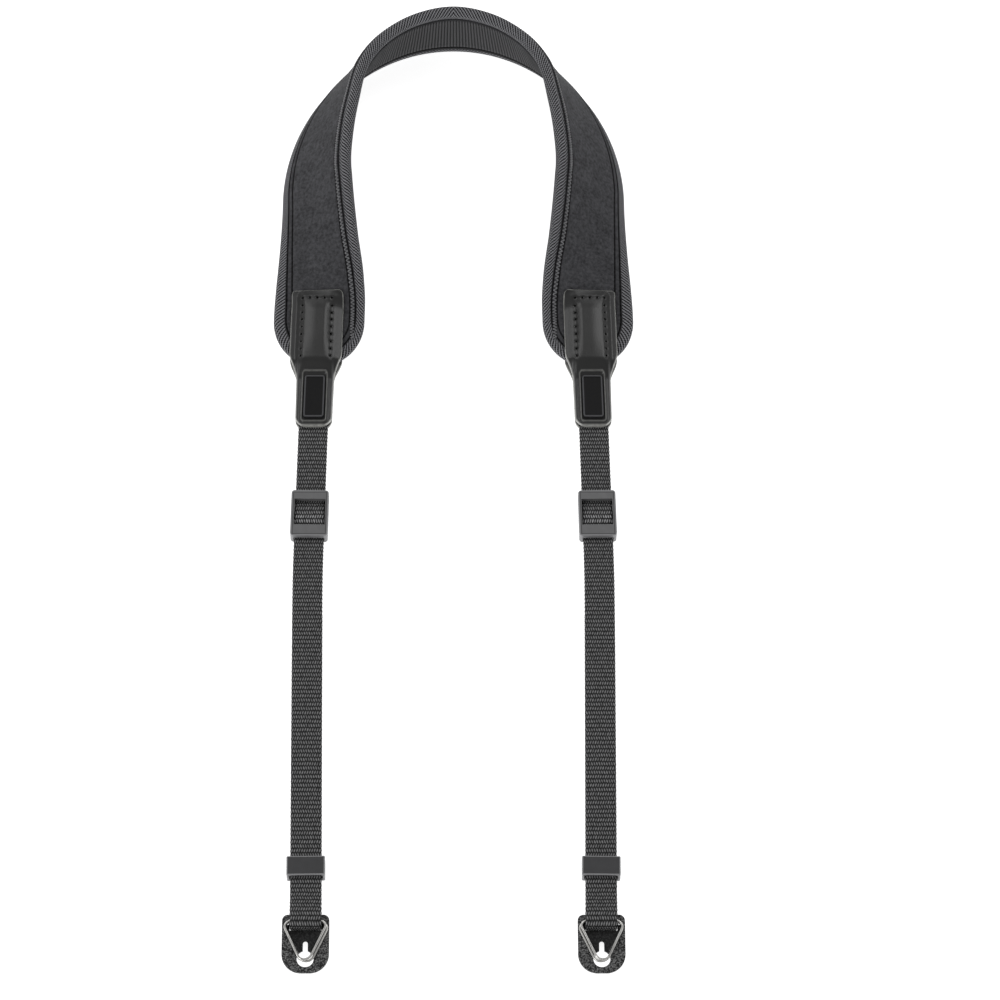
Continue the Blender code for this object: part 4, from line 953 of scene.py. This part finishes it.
# Glass-filled nylon, moulded: satin, with a faint cloudy haze and a spark texture on its faces; the
# rounded edges take a paler copy of it, painted as an edge highlight
def moulded_nylon(name, roughness, relief, dark, pale):
    """Moulded plastic in two tones of haze, with spark texture; gives its tree, place and colour too."""
    material, tree, shader = new_material(name, Roughness=roughness, IOR=1.5)
    place = add(tree, "TexCoord").node.outputs["Object"]
    haze = add(tree, "TexNoise", {"Vector": place, "Scale": 1 / 0.0025, "Detail": 4.0})
    colour = add(tree, "Mix", [haze, dark, pale], to=shader.inputs["Base Color"])
    spark = add(tree, "TexNoise", {"Vector": place, "Scale": 1 / 0.00025, "Detail": 2.0})
    add(tree, "Bump", {"Strength": relief, "Distance": 0.00004, "Height": spark}, to=shader.inputs["Normal"])
    return material, tree, place, colour


def slider_nylon(name, dark, pale):
    """The slider's nylon, mid grey, with a fine dark line 0.7 mm inside its border and a pale rim.

    The line is painted shade of a groove, and the rim outside it is a painted highlight.
    """
    material, tree, place, colour = moulded_nylon(name, 0.42, 0.18, dark, pale)
    slope = math.tan(strap_turn(slider_middle))
    axis_x = strap_x(slider_middle) - slope * slider_middle
    spot = add(tree, "SeparateXYZ", [place]).node.outputs
    off_axis = add(tree, "Math", [spot[0]], operation="ABSOLUTE")
    off_axis = add(tree, "Math", [spot[1], -slope, off_axis], operation="MULTIPLY_ADD")
    off_axis = add(tree, "Math", [off_axis, axis_x], operation="SUBTRACT")
    off_axis = add(tree, "Math", [off_axis], operation="ABSOLUTE")
    off_middle = add(tree, "Math", [spot[1], slider_middle], operation="SUBTRACT")
    off_middle = add(tree, "Math", [off_middle], operation="ABSOLUTE")
    off_middle = add(tree, "Math", [off_middle, rail_out - slider_half], operation="ADD")
    border = add(tree, "Math", [off_axis, off_middle], operation="MAXIMUM")
    border = add(tree, "Math", [border, rail_out - LIP], operation="SUBTRACT")
    # Painted highlight: the rim outside the line is painted paler
    rim_highlight = add(tree, "MapRange", [border, 0.0001, 0.0003, 0.0, 0.7])
    colour = add(tree, "Mix", [rim_highlight, colour, "#8e8e90"])
    # Painted shade: a dark line 0.7 mm inside the border stands for the shade in a groove
    border = add(tree, "Math", [border], operation="ABSOLUTE")
    line = add(tree, "MapRange", [border, 0.00008, 0.00022, 0.8, 0.0])
    add(tree, "Mix", [line, colour, "#262627"], to=tree.nodes["Principled BSDF"].inputs["Base Color"])
    return material


moulded = slider_nylon("moulded_nylon", "#606061", "#717172")
# Paler copy for the bevelled edges: a painted highlight
moulded_edge_highlight = slider_nylon("moulded_nylon_edge_highlight", "#98989a", "#acacae")
for label, side in SIDES:
    slider = cells(f"slider_frame_{label}", slider_lines, slider_full,
                   (side * strap_x(slider_middle), slider_middle), -side * strap_turn(slider_middle),
                   0.00035, corner=0.0011)
    slider.data.materials.append(moulded)
    slider.data.materials.append(moulded_edge_highlight)
    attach(slider, "strap")
    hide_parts(f"slider_{label}")

# Keepers. A short sleeve of the same plastic, darker, slides along both layers of the webbing and
# holds them together.
KEEPER_Y = BAR_Y + 0.0152
KEEPER_LENGTH = 0.0066
KEEPER_WALL = 0.0009
KEEPER_ROOF = 0.0013
mouth_half = WEB_WIDTH / 2 + GAP
mouth_top = front_z + WEB_THICKNESS / 2 + GAP
keeper_lines = (np.array([-mouth_half - KEEPER_WALL, -mouth_half, mouth_half, mouth_half + KEEPER_WALL]),
                np.array([0.0, KEEPER_LENGTH]),
                np.array([0.0, KEEPER_FLOOR, mouth_top, mouth_top + KEEPER_ROOF]))
keeper_full = np.ones((3, 1, 3), dtype=bool)
keeper_full[1, 0, 1] = False

# The same moulded nylon in black: near black, satin; its rounded edges take a paler copy, a painted
# highlight
dark_moulded = moulded_nylon("moulded_nylon_dark", 0.4, 0.2, "#303032", "#3e3e40")[0]
dark_edge_highlight = moulded_nylon("moulded_nylon_dark_edge_highlight", 0.4, 0.2, "#868688", "#9a9a9c")[0]
for label, side in SIDES:
    keeper = cells(f"keeper_sleeve_{label}", keeper_lines, keeper_full,
                   (side * strap_x(KEEPER_Y), KEEPER_Y), -side * strap_turn(KEEPER_Y), 0.0004)
    keeper.data.materials.append(dark_moulded)
    keeper.data.materials.append(dark_edge_highlight)
    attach(keeper, f"keeper_{label}")
    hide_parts(f"keeper_{label}")

# Rings. Spring wire bent into a triangle and wound twice round, so that it can be threaded through
# a camera's lug like a key ring. Its top bar lies in the webbing's fold.
BAR_HALF = 0.0046
CORNER = 0.0019
POINT = 0.0026
RING_HEIGHT = 0.0128
LUG_TILT = math.radians(5.46134)
SPREAD = 0.00037


def arc(middle_x, middle_y, radius, start, end, steps):
    """Points on a circle in a plane, from a start to an end angle."""
    angle = np.linspace(start, end, steps)
    return np.stack([middle_x + radius * np.cos(angle), middle_y + radius * np.sin(angle)], axis=-1)


def triangle(side, steps):
    """One turn of the ring in its plane: bar, two corner arcs, two legs and the arc at its point."""
    corner_y, point_y = -CORNER, POINT - RING_HEIGHT
    reach = math.hypot(BAR_HALF, corner_y - point_y)
    along = math.atan2(point_y - corner_y, -BAR_HALF)
    lean = along + math.acos((CORNER - POINT) / reach)
    right = arc(BAR_HALF, corner_y, CORNER, math.pi / 2, lean, steps)
    bottom = arc(0.0, point_y, POINT, lean, -math.pi - lean, 2 * steps)
    left = (right * [-1, 1])[::-1]
    leg = right[-1] + (bottom[0] - right[-1]) * np.linspace(0, 1, steps)[1:-1, None]
    bar = left[-1] + (right[0] - left[-1]) * np.linspace(0, 1, steps)[1:-1, None]
    turn = np.concatenate([(leg * [-1, 1])[::-1], left, bar, right, leg, bottom[:-1]])
    return turn * [-side, 1]


def in_lug_plane(points, side):
    """Points given from the bar, turned by the lug's tilt about the bar and moved to its place."""
    x, y, z = points[..., 0], points[..., 1], points[..., 2]
    return np.stack([side * strap_x(BAR_Y) + x,
                     BAR_Y + y * math.cos(LUG_TILT) - z * math.sin(LUG_TILT),
                     BAR_Z + y * math.sin(LUG_TILT) + z * math.cos(LUG_TILT)], axis=-1)


# Nickel-plated spring steel: bright, drawn wire with fine lines along it
nickel, tree, shader = new_material("nickel_plated_wire", Metallic=1.0, Roughness=0.3)
uv_map = add(tree, "UVMap", uv_map="mm")
stretch = add(tree, "Mapping", {0: uv_map, 3: (0.06, 3.0, 1.0)})
drawn = add(tree, "TexNoise", {"Vector": stretch, "Scale": 1.0, "Detail": 3.0})
add(tree, "Mix", [drawn, "#a2a2a0", "#eceae6"], to=shader.inputs["Base Color"])
for label, side in SIDES:
    turn = triangle(side, 12)
    count = len(turn)
    step = np.arange(1, 2 * count - 1)
    crossing = ease((step - count + 6) / 12) - 0.5
    ahead = unit(np.roll(turn, -1, axis=0) - np.roll(turn, 1, axis=0))
    outward = np.stack([ahead[:, 1], -ahead[:, 0]], axis=-1) * side
    inner_leg = ease(0.5 - side * turn[:, 0] / 0.004)
    spread = (SPREAD * inner_leg * ease(-turn[:, 1] / 0.003))[:, None] * outward
    flat_line = turn[step % count] - 2 * crossing[:, None] * spread[step % count]
    wire_line = np.concatenate([flat_line, (PITCH * crossing)[:, None]], axis=1)
    ring = surface(f"ring_wire_{label}", tube(in_lug_plane(wire_line, side), WIRE / 2, 14))
    ring.data.materials.append(nickel)
    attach(ring, f"ring_{label}")
    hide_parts(f"ring_{label}")

# Protectors. A leather plate lies under each ring and keeps it from scratching the camera. The
# webbing's fold passes through its slot, and a keyhole leaves room for the lug.
PLATE_WIDTH = 0.0151
PLATE_THICKNESS = 0.0012
PLATE_TOP = 0.0025
PLATE_END = 0.0166
PLATE_ROUND = 0.0062
PLATE_CORNER = 0.0019
PLATE_EDGE = 0.00022
SLOT_HALF = 0.0051
SLOT_LOW = 0.0027
STRIP_EDGE = FOLD_INSIDE - GAP
HOLE_Y = 0.0120
HOLE_RADIUS = 0.0027
SLIT_HALF = 0.0008
SLIT_TOP = 0.0062
PLATE_BELOW = (PITCH + WIRE) / 2 + RING_CLEAR + PLATE_THICKNESS


def plate_outlines():
    """Outer outline, with its entry slit and slot as one line, and the keyhole's outline.

    Both are in the plate's plane, from the bar's middle; the slit leans out at the left.
    """
    right = math.pi / 2
    corner_x, corner_y = PLATE_WIDTH / 2 - PLATE_CORNER, PLATE_TOP - PLATE_CORNER
    round_x, round_y = PLATE_WIDTH / 2 - PLATE_ROUND, PLATE_ROUND - PLATE_END
    slit_top = np.array([-0.0047, PLATE_TOP])
    slit_foot = np.array([-0.0057, -STRIP_EDGE])
    gap = np.array([0.0002, 0.0])
    slot = np.array([(-SLOT_HALF, -STRIP_EDGE), (-SLOT_HALF, -SLOT_LOW), (SLOT_HALF, -SLOT_LOW),
                     (SLOT_HALF, -STRIP_EDGE)])
    outer = np.concatenate([
        [slit_top + gap], arc(corner_x, corner_y, PLATE_CORNER, right, 0, 9),
        arc(round_x, round_y, PLATE_ROUND, 0, -right, 24),
        arc(-round_x, round_y, PLATE_ROUND, -right, -2 * right, 24),
        arc(-corner_x, corner_y, PLATE_CORNER, 2 * right, right, 9),
        [slit_top - gap, slit_foot - gap], slot, [slit_foot + gap]])
    meet = math.asin(SLIT_HALF / HOLE_RADIUS)
    hole = np.concatenate([arc(0.0, -HOLE_Y, HOLE_RADIUS, right + meet, 5 * right - meet, 40),
                           arc(0.0, -SLIT_TOP - SLIT_HALF, SLIT_HALF, 0, 2 * right, 9)])
    return outer, hole


# Pebble-grained leather: black with a dry grey bloom on the crests of its grain; inside the ring,
# below its bar, it is painted near black as painted shade
pebble, tree, shader = new_material("grained_leather", Roughness=0.6, Specular_IOR_Level=0.3)
place = add(tree, "TexCoord").node.outputs["Object"]
bead = add(tree, "TexVoronoi", {"Vector": place, "Scale": 1 / 0.00048}, feature="SMOOTH_F1")
broad = add(tree, "TexNoise", {"Vector": place, "Scale": 1 / 0.0005, "Detail": 3.0})
rough = add(tree, "Math", [bead, -0.9, broad], operation="MULTIPLY_ADD")
tone = add(tree, "MapRange", [rough, 0.0, 0.42])
colour = add(tree, "Mix", [tone, "#171718", "#868686"])
# Painted shade: a band inside the ring, narrowing down towards the keyhole, is painted near black
spot = add(tree, "SeparateXYZ", [place]).node.outputs
off_axis = add(tree, "Math", [spot[0]], operation="ABSOLUTE")
off_axis = add(tree, "Math", [off_axis, strap_x(BAR_Y)], operation="SUBTRACT")
off_axis = add(tree, "Math", [off_axis], operation="ABSOLUTE")
narrowed = add(tree, "Math", [spot[1], BAR_Y - 0.0030], operation="SUBTRACT")
narrowed = add(tree, "Math", [narrowed, -0.55, off_axis], operation="MULTIPLY_ADD")
off_axis = add(tree, "Math", [off_axis, narrowed], operation="MAXIMUM")
within = add(tree, "MapRange", [off_axis, 0.0055, 0.0060, 0.88, 0.0])
below = add(tree, "MapRange", [spot[1], BAR_Y - 0.0110, BAR_Y - 0.0100])
ring_shade = add(tree, "Math", [within, below], operation="MULTIPLY")
above = add(tree, "MapRange", [spot[1], BAR_Y - 0.0010, BAR_Y - 0.0005, 1.0, 0.0])
ring_shade = add(tree, "Math", [ring_shade, above], operation="MULTIPLY")
add(tree, "Mix", [ring_shade, colour, "#050505"], to=shader.inputs["Base Color"])
add(tree, "Bump", {"Strength": 0.6, "Distance": 0.00015, "Height": rough}, to=shader.inputs["Normal"])
for label, side in SIDES:
    plan = bpy.data.curves.new(f"protector_plan_{label}", "CURVE")
    plan.dimensions = "2D"
    plan.fill_mode = "BOTH"
    plan.extrude = PLATE_THICKNESS / 2 - PLATE_EDGE
    plan.bevel_depth = PLATE_EDGE
    plan.bevel_resolution = 2
    plan.offset = -PLATE_EDGE
    for outline in plate_outlines():
        spline = plan.splines.new("POLY")
        spline.points.add(len(outline) - 1)
        plan_points = np.pad(outline * [-side, 1], ((0, 0), (0, 2)))
        plan_points[:, 3] = 1.0
        spline.points.foreach_set("co", plan_points.ravel())
        spline.use_cyclic_u = True
    plan_object = bpy.data.objects.new("plan", plan)
    bpy.context.scene.collection.objects.link(plan_object)
    mesh = bpy.data.meshes.new_from_object(plan_object)
    bpy.data.objects.remove(plan_object)
    points = np.empty(len(mesh.vertices) * 3)
    mesh.vertices.foreach_get("co", points)
    points = points.reshape(-1, 3)
    points[:, 2] += PLATE_THICKNESS / 2 - PLATE_BELOW
    mesh.vertices.foreach_set("co", in_lug_plane(points, side).ravel())
    weld(mesh)
    plate = shaded_piece(f"protector_plate_{label}", mesh, sharp=40)
    plate.data.materials.clear()
    plate.data.materials.append(pebble)
    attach(plate, "strap")
    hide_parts(f"protector_{label}")

# Surface, light and camera. A white light table glows under an even dome, with a soft box at each
# side behind the strap and one low at the front left; the camera looks down from the ends' side.
TARGET = (0.0, -0.008438, 0.0)
table_mesh = bpy.data.meshes.new("table")
table_mesh.from_pydata([(-4, -4, 0), (4, -4, 0), (4, 4, 0), (-4, 4, 0)], [], [(0, 1, 2, 3)])
table = shaded_piece("table", table_mesh)

# Opal acrylic, lit from below: an even white, matt
white, _, _ = new_material("opal_acrylic", Base_Color="#f7f7f7", Roughness=0.9,
                           Emission_Color="#ffffff", Emission_Strength=0.84)
table.data.materials.append(white)
world = bpy.data.worlds.new("studio")
bpy.context.scene.world = world
world.use_nodes = True
sky = world.node_tree.nodes["Background"]
sky.inputs["Color"].default_value = (1.0, 1.0, 1.0, 1.0)
sky.inputs["Strength"].default_value = 0.4
bpy.context.scene.view_settings.view_transform = "Standard"


def soft_light(name, place, power):
    """Square area light, half a metre wide, that faces the strap's middle."""
    lamp = bpy.data.lights.new(name, "AREA")
    lamp.size = 0.5
    lamp.energy = power
    holder = bpy.data.objects.new(name, lamp)
    bpy.context.scene.collection.objects.link(holder)
    holder.location = place
    toward = Vector(TARGET) - Vector(place)
    holder.rotation_euler = toward.to_track_quat("-Z", "Y").to_euler()


soft_light("left_soft_box", (-0.53, 0.61, 1.01), 2.1)
soft_light("right_soft_box", (0.56, 0.61, 1.01), 2.6)
soft_light("front_soft_box", (-0.8, -0.8, 0.5), 3.6)

DISTANCE = 1.25
ANGLE = math.radians(28)
FOCAL = 132.876
camera = bpy.data.cameras.new("camera")
camera.sensor_width = 36.0
camera.lens = FOCAL
camera.shift_x = 0.0465
holder = bpy.data.objects.new("camera", camera)
bpy.context.scene.collection.objects.link(holder)
holder.location = (0.0, TARGET[1] - DISTANCE * math.sin(ANGLE), DISTANCE * math.cos(ANGLE))
holder.rotation_euler = (ANGLE, 0.0, 0.0)
bpy.context.scene.camera = holder
